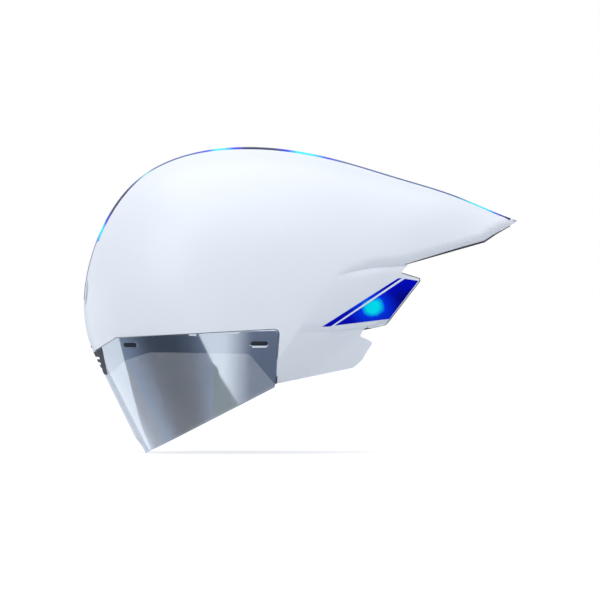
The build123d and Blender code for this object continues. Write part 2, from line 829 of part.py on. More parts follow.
with BuildPart() as cradle_screws:
    with BuildSketch(dial_plane(cover_x + cover_wall)):
        with Locations((-post_spacing / 2, 0), (post_spacing / 2, 0)):
            Circle(screw_head_radius)
    extrude(amount=screw_head_height)
    with BuildSketch(dial_plane(cover_x + cover_wall)):
        with Locations((-post_spacing / 2, 0), (post_spacing / 2, 0)):
            Circle(screw_shank_radius)
    extrude(amount=-(cover_wall + cover_x - plate_reach - plate_wall))
    with BuildSketch(dial_plane(cover_x + cover_wall + screw_head_height)):
        with Locations((-post_spacing / 2, 0), (post_spacing / 2, 0)):
            RegularPolygon(screw_head_radius / 2, 6)
    extrude(amount=-screw_head_height / 2, mode=Mode.SUBTRACT)
finish(cradle_screws, "cradle_screws")

with BuildPart() as nape_pads:
    with BuildSketch(dial_plane(plate_reach - seat_gap)):
        RectangleRounded(2 * plate_half_length - plate_corner, 2 * rail_low, plate_corner)
    extrude(amount=-pad_depth / 2)
    fillet(nape_pads.faces().sort_by(Axis.X)[0].edges(), pad_depth / 5)
finish(nape_pads, "nape_pad")

# Dial: pinion, knob, screw and detent spring


def gear_teeth(radius_low, radius_high, count):
    """Straight-sided teeth round a circle, one of them pointing up."""
    half_low = math.pi * pitch_radius / count * tooth_share * root_share
    half_high = math.pi * pitch_radius / count * tip_share
    foot = radius_low * tooth_foot_share
    with BuildSketch(mode=Mode.PRIVATE) as tooth:
        with BuildLine():
            Polyline((-half_low, foot), (-half_low, radius_low), (-half_high, radius_high),
                     (half_high, radius_high), (half_low, radius_low), (half_low, foot), close=True)
        make_face()
    return tooth.sketch


pinion_root = pitch_radius - module
pinion_tip = pitch_radius + rack_tooth_height * addendum_share
pinion_x = plate_reach + plate_wall + band_play
knob_x = cover_x + cover_wall + knob_gap
knob_end = knob_x + knob_depth
screw_seat = knob_end - knob_wall
with BuildPart() as dial_pinion:
    with BuildSketch(dial_plane(pinion_x)):
        Circle(pinion_root)
        with PolarLocations(0, tooth_count):
            add(gear_teeth(pinion_root, pinion_tip, tooth_count))
    extrude(amount=band_wall)
    with BuildSketch(dial_plane(pinion_x)):
        Circle(pivot_radius)
    extrude(amount=-plate_wall)
    with BuildSketch(dial_plane(pinion_x + band_wall)):
        Circle(shaft_radius)
    extrude(amount=screw_seat - pinion_x - band_wall - seat_gap)
    with BuildSketch(dial_plane(screw_seat)):
        Circle(screw_shank_radius + running_gap)
    extrude(amount=-knob_depth, mode=Mode.SUBTRACT)
finish(dial_pinion, "dial_pinion")

with BuildPart() as dial_knob:
    with BuildSketch(dial_plane(knob_x)):
        Circle(knob_radius)
        with PolarLocations(knob_radius + scallop_radius / 2, scallop_count):
            Circle(scallop_radius, mode=Mode.SUBTRACT)
    extrude(amount=knob_depth)
    with BuildSketch(dial_plane(knob_x)):
        Circle(knob_radius - knob_wall)
        with PolarLocations(knob_radius - knob_wall, detent_count):
            Circle(detent_radius)
        Circle(shaft_radius + knob_wall, mode=Mode.SUBTRACT)
    extrude(amount=knob_cavity_depth, mode=Mode.SUBTRACT)
    with BuildSketch(dial_plane(knob_x)):
        Circle(shaft_radius + running_gap)
    extrude(amount=screw_seat - knob_x, mode=Mode.SUBTRACT)
    with BuildSketch(dial_plane(screw_seat)):
        Circle(screw_head_radius + running_gap)
    extrude(amount=knob_depth, mode=Mode.SUBTRACT)
finish(dial_knob, "dial_knob")

with BuildPart() as dial_screw:
    with BuildSketch(dial_plane(screw_seat)):
        Circle(screw_head_radius)
    extrude(amount=screw_head_height)
    with BuildSketch(dial_plane(screw_seat)):
        Circle(screw_shank_radius)
    extrude(amount=-knob_depth + 2 * seat_gap)
    with BuildSketch(dial_plane(screw_seat + screw_head_height)):
        RegularPolygon(screw_head_radius / 2, 6)
    extrude(amount=-screw_head_height / 2, mode=Mode.SUBTRACT)
finish(dial_screw, "dial_screw")

spring_radius = knob_radius - knob_wall - detent_radius - spring_wall
with BuildPart() as detent_spring:
    with BuildSketch(dial_plane(cover_x + cover_wall)):
        with BuildLine():
            span = spring_radius * spring_span_share
            foot = -spring_radius * spring_drop_share
            inner_span = span - spring_wall
            ThreePointArc((-span, foot), (0, spring_radius), (span, foot))
            Line((span, foot), (inner_span, foot))
            ThreePointArc((inner_span, foot), (0, spring_radius - spring_wall), (-inner_span, foot))
            Line((-inner_span, foot), (-span, foot))
        make_face()
        with Locations((0, spring_radius)):
            Circle(spring_wall * spring_bump_share)
    extrude(amount=spring_height)
finish(detent_spring, "detent_spring")

# Bands: a rack in the cradle, an arm round the head and a pin at the temple

rack_tail = band_travel + rack_end


def rack_outline(rack_sign, phase):
    """A toothed bar seen from behind, on the upper or the lower side of the pinion."""
    half_root = tooth_pitch * tooth_share
    half_tip = tooth_pitch * tip_share
    first = math.ceil((-rack_tail + half_root) / tooth_pitch - phase)
    last = math.floor((plate_half_length - half_root) / tooth_pitch - phase)
    with BuildSketch(mode=Mode.PRIVATE) as outline:
        with Locations(((band_leave - rack_tail) / 2, rack_sign * (rack_root + rack_back / 2))):
            Rectangle(band_leave + rack_tail, rack_back)
        for index in range(first, last + 1):
            middle = (index + phase) * tooth_pitch
            with BuildLine():
                Polyline((middle - half_root, rack_sign * (rack_root + rack_back / 4)),
                         (middle - half_root, rack_sign * rack_root),
                         (middle - half_tip, rack_sign * rack_tip),
                         (middle + half_tip, rack_sign * rack_tip),
                         (middle + half_root, rack_sign * rack_root),
                         (middle + half_root, rack_sign * (rack_root + rack_back / 4)), close=True)
            make_face()
    return outline.sketch


def right_band_form(rack_sign, phase):
    """A band for the wearer's right side."""
    with BuildPart() as arm:
        with BuildSketch(Plane.XY.offset(-head_length / 2)):
            with BuildLine():
                turn = math.degrees(math.acos(band_turn_x / arm_long))
                end = math.degrees(math.acos((temple_x - band_tip_width / 2) / arm_long))
                round_head = EllipticalCenterArc((0, 0), arm_long, arm_half, turn, arc_size=end - turn)
                Spline((rack_x, band_leave), round_head @ 0, tangents=((0, 1), round_head % 0))
            trace(line_width=band_wall)
        extrude(amount=head_length)
        with BuildSketch(Plane.XZ) as profile:
            lift = rack_sign * (rack_top - band_width / 2)
            with Locations((rack_x + band_wall, dial_z + lift),
                           (band_turn_x + band_leave / 2, dial_z + lift)):
                Circle(band_width / 2)
            with Locations((temple_x, temple_z)):
                Circle(band_tip_width / 2)
            make_hull()
        extrude(amount=head_length, both=True, mode=Mode.INTERSECT)
    with BuildPart() as band:
        add(arm.part)
        with BuildSketch(dial_plane(rack_x - band_wall / 2)):
            add(rack_outline(rack_sign, phase))
        extrude(amount=band_wall)
        with BuildSketch(Plane(origin=(temple_x, pin_start, temple_z), x_dir=(1, 0, 0), z_dir=(0, 1, 0))):
            Circle(temple_pin_radius)
        extrude(amount=pin_length)
    return band.part


with BuildPart() as right_band:
    add(right_band_form(-1, 0.0))
finish(right_band, "right_band")

with BuildPart() as left_band:
    add(mirrored(right_band_form(1, 0.5)))
finish(left_band, "left_band")

# Chin straps, stowed inside the ear fins

fold_base = web_wall / 2
fold_points = [
    (fold_length, fold_base), (-fold_radius, fold_base), (-fold_radius, fold_base + fold_pitch),
    (fold_length, fold_base + fold_pitch), (fold_length, fold_base + 2 * fold_pitch),
    (-fold_radius, fold_base + 2 * fold_pitch), (-fold_radius, fold_base + 3 * fold_pitch),
    (fold_length, fold_base + 3 * fold_pitch), (fold_length, fold_base + 4 * fold_pitch),
    (fold_length / 3, fold_base + 4 * fold_pitch),
]
with BuildPart() as left_strap:
    add(webbing_run(0))
    with BuildSketch(strap_level_plane):
        with BuildLine():
            FilletPolyline(*fold_points, radius=fold_radius)
        trace(line_width=web_wall)
    extrude(amount=-web_width)
with BuildPart() as strap_anchors:
    add(anchor_blocks(0))
    add(webbing_run(running_gap), mode=Mode.SUBTRACT)
    mirror(strap_anchors.part, about=Plane.XZ)
finish(strap_anchors, "strap_anchors")

buckle_start = fold_length / 3 - buckle_length / 6
buckle_level = fold_base + 4 * fold_pitch
buckle_low = buckle_level - buckle_wall / 2
buckle_high = buckle_level + buckle_wall / 2
slot_low = buckle_level - web_wall / 2 - seat_gap
slot_high = buckle_level + web_wall / 2 + seat_gap
prong_slot = web_width / 2 - 1.5 * buckle_prong


def strap_box(start, length, depth_low, depth_high, below, height, corner=0.0):
    """A block along the left strap: start and length along it, depths inwards, drop below its top edge."""
    with BuildPart() as box:
        with BuildSketch(strap_wall_plane.offset(-depth_low)):
            with Locations((start + length / 2, -below - height / 2)):
                if corner:
                    RectangleRounded(length, height, corner)
                else:
                    Rectangle(length, height)
        extrude(amount=-(depth_high - depth_low))
    return box.part


with BuildPart() as left_divider:
    lug_depth = web_wall + seat_gap + divider_wall
    add(strap_box(divider_start, divider_length, -divider_wall - seat_gap, lug_depth,
                  -divider_wall - seat_gap, web_width + 2 * (divider_wall + seat_gap), divider_wall))
    add(strap_box(divider_start - divider_wall, divider_length + 2 * divider_wall, -seat_gap,
                  web_wall + seat_gap, -seat_gap, web_width + 2 * seat_gap), mode=Mode.SUBTRACT)
    hinge_u = divider_start + lever_barrel_radius + seat_gap
    hinge_n = lug_depth + lever_barrel_radius + seat_gap
    for drop in (-divider_wall - seat_gap, web_width + seat_gap):
        add(strap_box(divider_start, 2 * (lever_barrel_radius + seat_gap), lug_depth - divider_wall / 2,
                      hinge_n + lever_barrel_radius, drop, divider_wall, divider_wall / 4))
    with BuildSketch(strap_level_plane.offset(web_width)):
        with Locations((hinge_u, hinge_n)):
            Circle(lever_pin_radius + running_gap)
    extrude(amount=-3 * web_width, mode=Mode.SUBTRACT)

with BuildPart() as left_cam_lever:
    add(strap_box(hinge_u, divider_length - 2 * lever_barrel_radius, hinge_n - lever_wall / 2,
                  hinge_n + lever_wall / 2, seat_gap, web_width - 2 * seat_gap, lever_wall / 2))
    with BuildSketch(strap_level_plane.offset(-seat_gap)):
        with Locations((hinge_u, hinge_n)):
            Circle(lever_barrel_radius)
    extrude(amount=-web_width + 2 * seat_gap)
    with BuildSketch(strap_level_plane.offset(divider_wall / 2 + seat_gap)):
        with Locations((hinge_u, hinge_n)):
            Circle(lever_pin_radius)
    extrude(amount=-web_width - divider_wall - 2 * seat_gap)

for piece, name in ((left_strap, "strap"), (left_divider, "divider"), (left_cam_lever, "cam_lever")):
    finish(piece, f"left_{name}")
    with BuildPart() as other_side:
        add(mirrored(piece.part))
    finish(other_side, f"right_{name}")

with BuildPart() as buckle_tongue:
    add(strap_box(buckle_start - buckle_length / 2, buckle_length, buckle_low, buckle_high,
                  -buckle_prong / 2, web_width + buckle_prong, buckle_prong))
    add(strap_box(buckle_start, buckle_length, slot_low, slot_high, -seat_gap,
                  web_width + 2 * seat_gap), mode=Mode.SUBTRACT)
    for below in (buckle_prong, web_width / 2 + buckle_prong / 2):
        add(strap_box(buckle_start - buckle_length, buckle_length * tongue_open_share,
                      buckle_level - buckle_wall, buckle_level + buckle_wall, below, prong_slot),
            mode=Mode.SUBTRACT)
finish(buckle_tongue, "buckle_tongue")

with BuildPart() as buckle_socket:
    add(strap_box(buckle_start - buckle_length / 2, buckle_length, buckle_low, buckle_high,
                  -buckle_prong, web_width + 2 * buckle_prong, buckle_prong))
    add(strap_box(buckle_start, buckle_length, slot_low, slot_high, -seat_gap,
                  web_width + 2 * seat_gap), mode=Mode.SUBTRACT)
    add(strap_box(buckle_start - buckle_length, buckle_length * socket_open_share,
                  buckle_level - buckle_wall / 4, buckle_level + buckle_wall / 4, seat_gap,
                  web_width - 2 * seat_gap), mode=Mode.SUBTRACT)
with BuildPart() as right_socket:
    add(mirrored(buckle_socket.part))
finish(right_socket, "buckle_socket")

keeper_low = -seat_gap
keeper_high = fold_base + 3 * fold_pitch + web_wall / 2 + seat_gap
with BuildPart() as strap_keepers:
    keeper_place = fold_length * keeper_place_share
    add(strap_box(keeper_place, keeper_length, keeper_low - keeper_wall, keeper_high + keeper_wall,
                  -seat_gap - keeper_wall, web_width + 2 * (seat_gap + keeper_wall), keeper_wall))
    add(strap_box(keeper_place - keeper_length, 3 * keeper_length, keeper_low, keeper_high,
                  -seat_gap, web_width + 2 * seat_gap), mode=Mode.SUBTRACT)
    mirror(strap_keepers.part, about=Plane.XZ)
finish(strap_keepers, "strap_keepers")
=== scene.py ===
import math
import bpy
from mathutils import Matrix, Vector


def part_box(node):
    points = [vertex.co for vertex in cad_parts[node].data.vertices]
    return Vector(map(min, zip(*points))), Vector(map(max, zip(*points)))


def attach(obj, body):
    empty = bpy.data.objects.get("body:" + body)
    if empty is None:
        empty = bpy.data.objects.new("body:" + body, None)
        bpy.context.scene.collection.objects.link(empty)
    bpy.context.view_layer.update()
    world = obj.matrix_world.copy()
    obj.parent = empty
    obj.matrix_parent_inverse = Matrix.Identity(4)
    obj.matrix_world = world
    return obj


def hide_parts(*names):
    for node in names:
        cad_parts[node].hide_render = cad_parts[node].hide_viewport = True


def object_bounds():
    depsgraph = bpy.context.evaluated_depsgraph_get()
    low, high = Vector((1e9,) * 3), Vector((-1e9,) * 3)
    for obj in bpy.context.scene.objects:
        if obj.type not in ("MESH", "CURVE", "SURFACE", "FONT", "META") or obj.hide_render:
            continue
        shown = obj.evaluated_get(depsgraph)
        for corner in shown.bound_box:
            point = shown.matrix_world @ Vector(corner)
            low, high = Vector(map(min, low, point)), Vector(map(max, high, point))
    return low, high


bl_info = {
    "name": "Aero Time Trial Helmet",
    "version": (1, 0, 0),
    "blender": (4, 5, 0),
    "location": "View3D > Sidebar > Helmet",
    "description": "Dresses the frame of an aero time trial helmet with its shell, visor, films and soft parts",
    "category": "Object",
}

import bmesh
import bpy
import numpy as np
from bpy.props import FloatProperty, FloatVectorProperty, IntProperty, PointerProperty
from bpy.types import Operator, Panel, PropertyGroup
from mathutils import Vector
from mathutils.bvhtree import BVHTree

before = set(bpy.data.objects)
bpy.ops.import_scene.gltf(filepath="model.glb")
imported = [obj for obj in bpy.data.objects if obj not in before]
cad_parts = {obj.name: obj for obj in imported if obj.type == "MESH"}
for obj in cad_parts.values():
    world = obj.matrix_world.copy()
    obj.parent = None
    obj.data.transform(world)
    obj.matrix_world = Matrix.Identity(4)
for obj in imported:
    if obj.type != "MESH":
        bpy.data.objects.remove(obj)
CAD_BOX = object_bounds()

MM = 0.001
MERGE_DISTANCE = 0.002 * MM

# The form of the shell, in shares of the helmet's length from the nose and of its height from the lowest edge
SEAT_SHARE = (0.342, 0.496)
PIVOT_SHARE = (0.341, 0.082)
# Crest place, width, shoulder height, crown and side fullness, hem width
HOOP_SHARES = [
    (0.062, 0.206, 0.86, 0.10, 0.60, 0.50, 0.85),
    (0.005, 0.402, 0.90, 0.10, 0.61, 0.52, 0.87),
    (0.021, 0.663, 0.96, 0.17, 0.61, 0.55, 0.89),
    (0.131, 0.902, 0.99, 0.34, 0.60, 0.55, 0.90),
    (0.341, 0.998, 1.00, 0.44, 0.56, 0.50, 0.90),
    (0.567, 0.964, 0.99, 0.43, 0.50, 0.44, 0.89),
    (0.729, 0.897, 0.965, 0.40, 0.44, 0.38, 0.87),
    (0.857, 0.840, 0.93, 0.36, 0.38, 0.34, 0.85),
    (0.995, 0.761, 0.88, 0.31, 0.30, 0.30, 0.82),
    (1.055, 0.727, 0.867, 0.295, 0.293, 0.293, 0.813),
    (1.111, 0.458, 0.84, 0.26, 0.28, 0.28, 0.80),
]
HEM_RISE_SHARE = 0.07
SHOULDER_OVER_HEM_SHARE = 1.3
# How much of each fin's tuck the hoops take, from front to back
TUCK_SHARES = [0.0, 0.0, 0.0, 0.0, 0.0, 0.0, 0.0, 0.5, 1.0, 1.12, 1.45]
SHELL_HEM_SHARES = [
    (-0.055, 0.255), (0.053, 0.255), (0.067, 0.275), (0.090, 0.301), (0.159, 0.332), (0.382, 0.327),
    (0.440, 0.229), (0.619, 0.281), (0.637, 0.302), (0.664, 0.363), (0.634, 0.382), (0.643, 0.408),
    (0.691, 0.422), (0.703, 0.438), (0.771, 0.562), (0.770, 0.569), (0.727, 0.587), (0.742, 0.615),
    (0.922, 0.690), (0.949, 0.716), (1.000, 0.758), (1.051, 0.810), (1.051, 1.121), (-0.055, 1.121),
]
LENS_OUTLINE_SHARES = [
    (-0.055, 0.271), (0.023, 0.330), (0.044, 0.348), (0.078, 0.377), (0.4515, 0.4065),
    (0.441, 0.219), (0.141, 0.000), (-0.055, -0.020),
]
LENS_ROUND_CORNER = 4
BROW_SHARES = [(-0.055, 0.330), (0.022, 0.330), (0.044, 0.346), (0.055, 0.257), (-0.055, 0.257)]
# Where the edge behind the visor ends at the front
LEDGE_FRONT_SHARES = [(-0.055, 0.370), (0.034, 0.370), (0.044, 0.346), (0.055, 0.257), (-0.055, 0.257)]
# Level, front, width at the widest place and width at the rear edge of the visor's form
LENS_LEVEL_SHARES = [(0.422, -0.011, 0.998, 0.982), (-0.006, 0.136, 0.907, 0.785)]
LENS_WIDEST_SHARE = 0.307
LENS_REAR_SHARE = 0.471
PILL_SHARES = [(0.104, 0.355), (0.406, 0.360)]
INTAKE_LEVEL_SHARE = 0.525
CRESCENT_SHARE = 0.4
# The two creases of the side, each with the tuck below it
UPPER_CREASE_SHARES = [
    (0.475, 0.548), (0.583, 0.5785), (0.618, 0.591), (0.664, 0.605), (0.708, 0.609), (0.742, 0.614),
    (0.922, 0.689), (0.949, 0.715), (1.000, 0.757), (1.060, 0.805),
]
LOWER_CREASE_SHARES = [
    (0.429, 0.392), (0.529, 0.400), (0.5785, 0.402), (0.647, 0.412), (0.703, 0.438), (0.797, 0.480),
]
# Crest film: place along the length and how far down it shows from the side, as a share of the length
STRIPE_SHARES = [
    (-0.06, 0.0024), (0.0285, 0.0024), (0.0305, 0.0074), (0.060, 0.0070), (0.0945, 0.0060), (0.1406, 0.0034),
    (0.244, 0.0037), (0.3827, 0.0060), (0.521, 0.0052), (0.613, 0.0034), (0.7975, 0.0032), (0.985, 0.0038),
]
STRIPE_END_SHARES = (0.502, 0.985)
UPPER_PANEL_SHARES = [(0.5478, 0.4138), (0.5674, 0.4151), (0.7306, 0.5710), (0.7210, 0.5697)]
LOWER_PANEL_SHARES = [(0.5770, 0.4180), (0.7371, 0.5687), (0.7680, 0.5616), (0.7016, 0.4390)]

SHELL_ROWS = 190
CROWN_COLUMNS = 56
SIDE_COLUMNS = 26
LENS_COLUMNS = 132
LENS_WALL_COLUMNS = 26
LENS_ROWS = 56
STRIPE_ROWS = 360
STRIPE_COLUMNS = 8
ARC_STEPS = 5
# Least share by which a corner's mitre is foreshortened when an outline grows
MITRE_LIMIT = 0.3

# Colour of the crest film by its place along the length
STRIPE_COLOURS = [
    (-0.004, "slate"), (0.027, "slate"), (0.030, "blue"), (0.038, "cyan"), (0.046, "cyan"), (0.050, "blue"),
    (0.066, "navy"), (0.098, "navy"), (0.120, "slate"), (0.143, "pale"), (0.163, "slate"), (0.230, "slate"),
    (0.288, "blue"), (0.303, "cyan"), (0.322, "cyan"), (0.345, "blue"), (0.375, "navy"), (0.440, "navy"),
    (0.470, "blue"), (0.492, "cyan"), (0.528, "cyan"), (0.556, "blue"), (0.600, "slate"), (0.860, "slate"),
    (0.895, "cyan"), (0.925, "cyan"), (0.950, "blue"), (0.975, "navy"),
]
# Spots on the fin films, the first a painted cyan highlight and the second a dark spot at the rear: place, reach as
# a share of the length, and colours outwards
FIN_SPOTS = [
    ((0.6630, 0.4745), 0.075, ((0.0, "cyan"), (0.17, "cyan"), (0.33, "blue"), (0.70, "deep"))),
    ((0.7400, 0.5000), 0.050, ((0.0, "navy"), (0.35, "navy"), (0.9, "deep"))),
]
FIN_SPOT_STRETCH = (0.85, 0.0, 1.1)
FIN_DRIFT = 0.26
PAD_MAP = "pad_threads"
# Steps of the curves that the cutters and the crest film follow
CRESCENT_STEPS = 12
PILL_END_STEPS = 8
NOTCH_STEPS = 48
CREST_SAMPLES = 400
# How far a face may lie from a cut on the shell, in rows of its grid, and from a cut on the visor or a film
SHELL_CUT_ROWS = 1.7
LENS_CUT_REACH = 3.4 * MM
FILM_CUT_REACH = 3 * MM
FILM_MARGIN = 4 * MM
# Where the skin is cut beside a crease, as shares of the reach above it and, with a minus, of the reach below it
CREASE_CUTS = (0, 0.15, 0.35, 0.6, 1, -0.25, -0.6, -1)
# How far the ledge behind the visor reaches past the visor's edge
LEDGE_REACH = 1.3 * MM
FLOOR_GAP = 0.2 * MM
# How near points are merged, how deep a crease counts, and the room and reach of what is kept under the skin
SHELL_WELD = 0.12 * MM
LENS_WELD = 0.05 * MM
CREASED_FROM = 0.1 * MM
SKIN_ROOM = 0.25 * MM
SKIN_REACH = 9 * MM
SKIN_EDGE = 3.5 * MM
# How straight a point must lie under the skin to be moved
SKIN_STRAIGHT_SHARE = 0.7
# Edges flatter than the first are dissolved, and edges sharper than the others stay sharp or are rounded
FLAT_DEG = 0.6
SHARP_DEG = 35
PAD_SHARP_DEG = 70
NODE_SHARP_DEG = 32
NODE_ROUND_DEG = 40
SHEET_ROUND_DEG = 55
# Pads: step of their grid, corners, room behind them and at the head, depth of a channel and of the crown
PAD_STEP = 1.5 * MM
PAD_CORNER = 6 * MM
NAPE_CORNER = 5 * MM
PAD_BACK_GAP = 0.35 * MM
PAD_HEAD_GAP = 0.1 * MM
CHANNEL_PRESS = 0.7
PAD_CROWN_SHARE = 0.18
CROWN_PAD_WIDTH = 17 * MM
# Seam of a pad, in steps from its rim
SEAM_INSET = 2
# Ribs of the dial: where they stand, as a share of its radius, and their size
GRIP_RADIUS_SHARE = 0.62
RIB_LENGTH = 0.5 * MM
RIB_WIDTH = 0.9 * MM
# Parts of the cradle and of the chin straps: body, slot, material, share of the rounding, nodes
CRADLE_PARTS = [
    ("cradle", "cradle_plastic", "cradle_nylon", 1.0, "retention_cradle", "cradle_cover"),
    ("cradle", "steel", "plated_steel", 0.5, "cradle_screws", "detent_spring"),
    ("left_band", "cradle_plastic", "cradle_nylon", 0.5, "left_band"),
    ("right_band", "cradle_plastic", "cradle_nylon", 0.5, "right_band"),
    ("dial", "dial_rubber", "grip_rubber", 1.0, "dial_knob"),
    ("dial", "pinion_plastic", "pinion_acetal", 0.5, "dial_pinion"),
    ("dial", "steel", "plated_steel", 0.5, "dial_screw"),
]
STRAP_PARTS = [
    ("helmet", "webbing", "strap_webbing", 0.5, "left_strap", "right_strap"),
    ("helmet", "dial_rubber", "grip_rubber", 0.5, "strap_keepers"),
    ("helmet", "clip_plastic", "clip_acetal", 0.5, "strap_anchors", "left_divider", "right_divider"),
    ("left_lever", "clip_plastic", "clip_acetal", 1.0, "left_cam_lever"),
    ("right_lever", "clip_plastic", "clip_acetal", 1.0, "right_cam_lever"),
    ("helmet", "clip_plastic", "clip_acetal", 1.0, "buckle_tongue", "buckle_socket"),
]
# Greys that gloss mirrors, by the angle in degrees from the camera's side towards the nose
ROOM_TONES = [
    (-180, 0.80), (-120, 0.70), (-60, 0.35), (-25, 0.30), (-8, 0.30), (0, 0.40), (8, 0.36), (16, 0.27),
    (24, 0.18), (36, 0.12), (52, 0.12), (62, 0.14), (70, 0.20), (78, 0.29), (88, 0.40), (98, 0.48),
    (106, 0.50), (114, 0.52), (122, 0.58), (132, 0.75), (143, 1.30), (147, 0.95), (160, 0.70), (180, 0.80),
]
ROOM_DARK_BELOW = 0.5
ROOM_DARK_HUE = (0.78, 0.95, 1.26)
ROOM_PALE_HUE = (0.93, 1.0, 1.12)
CARD_HUE = (0.93, 0.97, 1.0)
WHITE = (1.0, 1.0, 1.0, 1.0)
SKY_COLOUR = (0.82, 0.89, 1.0, 1)
FLOOR_COLOUR = (0.86, 0.86, 0.87, 1)
GREY_CARD_COLOUR = (0.78, 0.95, 1.0, 1)
# How high above the horizon, as a share of the sky's top, the room turns white in gloss
WHITE_ABOVE = 0.35
# Soft boxes: name, place, size and colour
LAMPS = [
    ("top_box", (0.0, -0.3, 1.9), 2.4, (1.0, 1.0, 1.0)),
    ("front_box", (-1.7, -1.5, 1.3), 1.6, (0.97, 0.985, 1.0)),
]
# Corners of a bright card in millimetres along and up
CARD_CORNERS = [(0, -116), (-120, -80), (-160, -68), (-160, 60), (0, 60)]
# The bright field behind the cards, in degrees: its ends, towards the tail, and the falls between which it fades
FIELD_START_DEG = 17
FIELD_END_DEG = 1.5
FIELD_FADE_DEG = (-15.5, -11.5)
# Corners of the card ahead of the visor in millimetres across and up
FRONT_CARD_CORNERS = [(-42, -153), (49, -192), (155, -224), (255, -246), (420, -290), (420, 60), (-42, 60)]
# Corners of the grey card that hides the field's lower front, along and up
GREY_CARD_CORNERS = [(-22, -69), (4.2, -74.4), (12.4, -84.8), (31, -107.6), (45, -125), (45, -150), (-22, -150)]


def measure(name, description, mm):
    """A length that a user can change, with its default in millimetres."""
    return FloatProperty(name=name, description=description, default=mm * MM, unit="LENGTH")


def tint(name, description, *parts):
    """A colour that a user can change."""
    return FloatVectorProperty(name=name, description=description, default=(*parts, 1), subtype="COLOR", size=4)


class HelmetSizes(PropertyGroup):
    """Sizes of the shell, the visor, the films and the soft parts."""
    length: measure("Length", "Length of the helmet", 364)
    height: measure("Height", "Height of the helmet", 257)
    width: measure("Width", "Width of the helmet", 206)
    shell_wall: measure("Shell Wall", "Wall of the shell", 1.8)
    hem_round: measure("Hem Round", "Rounding of the shell's edges", 0.45)
    corner_round: measure("Corner Round", "Rounding of the outline's corners", 2.2)
    mid_fin_tuck: measure("Mid Fin Tuck", "Tuck of the upper fin below its crease", 5)
    ear_fin_tuck: measure("Ear Fin Tuck", "Further tuck of the lower fin", 4)
    crease_dip: measure("Crease Dip", "How far a crease dips below the fin under it", 2.5)
    crease_above: measure("Crease Above", "Reach of a crease's roll above it", 9)
    crease_below: measure("Crease Below", "Reach of a crease's rise below it", 6)
    lens_wall: measure("Lens Wall", "Wall of the visor", 1.8)
    lens_gap: measure("Lens Gap", "Room behind the visor", 0.3)
    lens_edge_gap: measure("Lens Edge Gap", "Joint round the visor", 0.5)
    lens_corner: measure("Lens Corner", "Reach of the visor's round upper rear corner", 5.5)
    lens_round: measure("Lens Round", "Rounding of the visor's edges", 0.85)
    mirror_cover: FloatProperty(name="Mirror Cover", description="How much the visor's mirror coat hides",
                                default=0.80, min=0.0, max=1.0, subtype="FACTOR")
    vent_gap: measure("Vent Gap", "Joint round the brow vent", 0.2)
    pill_length: measure("Pill Length", "Length of a magnet pill", 14)
    pill_width: measure("Pill Width", "Width of a magnet pill", 3.4)
    pill_gap: measure("Pill Gap", "Joint round a magnet pill", 0.1)
    nose_width: measure("Nose Width", "Width of the notch over the nose", 64)
    nose_height: measure("Nose Height", "Height of the notch over the nose", 13)
    intake_height: measure("Intake Height", "Height of a front intake", 24)
    intake_width: measure("Intake Width", "Width of a front intake", 11)
    intake_spacing: measure("Intake Spacing", "Distance between the front intakes", 40)
    film_lift: measure("Film Lift", "How far a film stands proud of the shell", 0.14)
    film_wall: measure("Film Wall", "Thickness of a film", 0.3)
    trim_round: measure("Trim Round", "Rounding of moulded edges", 0.3)
    head_length: measure("Head Length", "Length of the head", 194)
    head_breadth: measure("Head Breadth", "Breadth of the head", 154)
    head_end_radius: measure("Head End Radius", "Radius of the head's front and back", 68)
    pad_depth: measure("Pad Depth", "Room for the comfort pads", 5)
    pad_rim: measure("Pad Rim", "Thickness of a pad at its sewn rim", 1.1)
    pad_roll: measure("Pad Roll", "Reach of a pad's rounded side", 4.5)
    pad_channel: measure("Pad Channel", "Half width of a channel pressed in a pad", 1.6)
    stitch_pitch: measure("Stitch Pitch", "Distance from stitch to stitch", 3.2)
    stitch_length: measure("Stitch Length", "Length of a stitch", 2.2)
    stitch_width: measure("Stitch Width", "Thickness of the thread", 0.5)
    grip_ribs: IntProperty(name="Grip Ribs", description="Ribs round the dial", default=40, min=8, max=90)


class HelmetColours(PropertyGroup):
    """Colours of the shell, the films, the visor and the dark parts."""
    paint: tint("Paint", "White of the shell", 0.860, 0.885, 0.925)
    cyan: tint("Cyan", "Bright band of the films", 0.000, 0.900, 1.000)
    pale: tint("Pale", "Thin pale band of the films", 0.230, 0.760, 0.780)
    blue: tint("Blue", "Middle band of the films", 0.000, 0.040, 0.900)
    deep: tint("Deep Blue", "Ground colour of the fin films", 0.000, 0.003, 0.520)
    navy: tint("Navy", "Dark band of the films", 0.000, 0.002, 0.090)
    slate: tint("Slate", "Quiet band of the films", 0.055, 0.110, 0.330)
    smoke: tint("Smoke", "Mirror coat of the visor", 0.500, 0.545, 0.620)
    trim: tint("Trim", "Black moulded trim", 0.012, 0.014, 0.022)
    foam: tint("Foam", "Bead foam", 0.022, 0.022, 0.025)
    fabric: tint("Fabric", "Knit of the pads", 0.020, 0.023, 0.030)
    webbing: tint("Webbing", "Woven straps", 0.018, 0.019, 0.024)
    nylon: tint("Nylon", "Cradle and bands", 0.020, 0.020, 0.024)


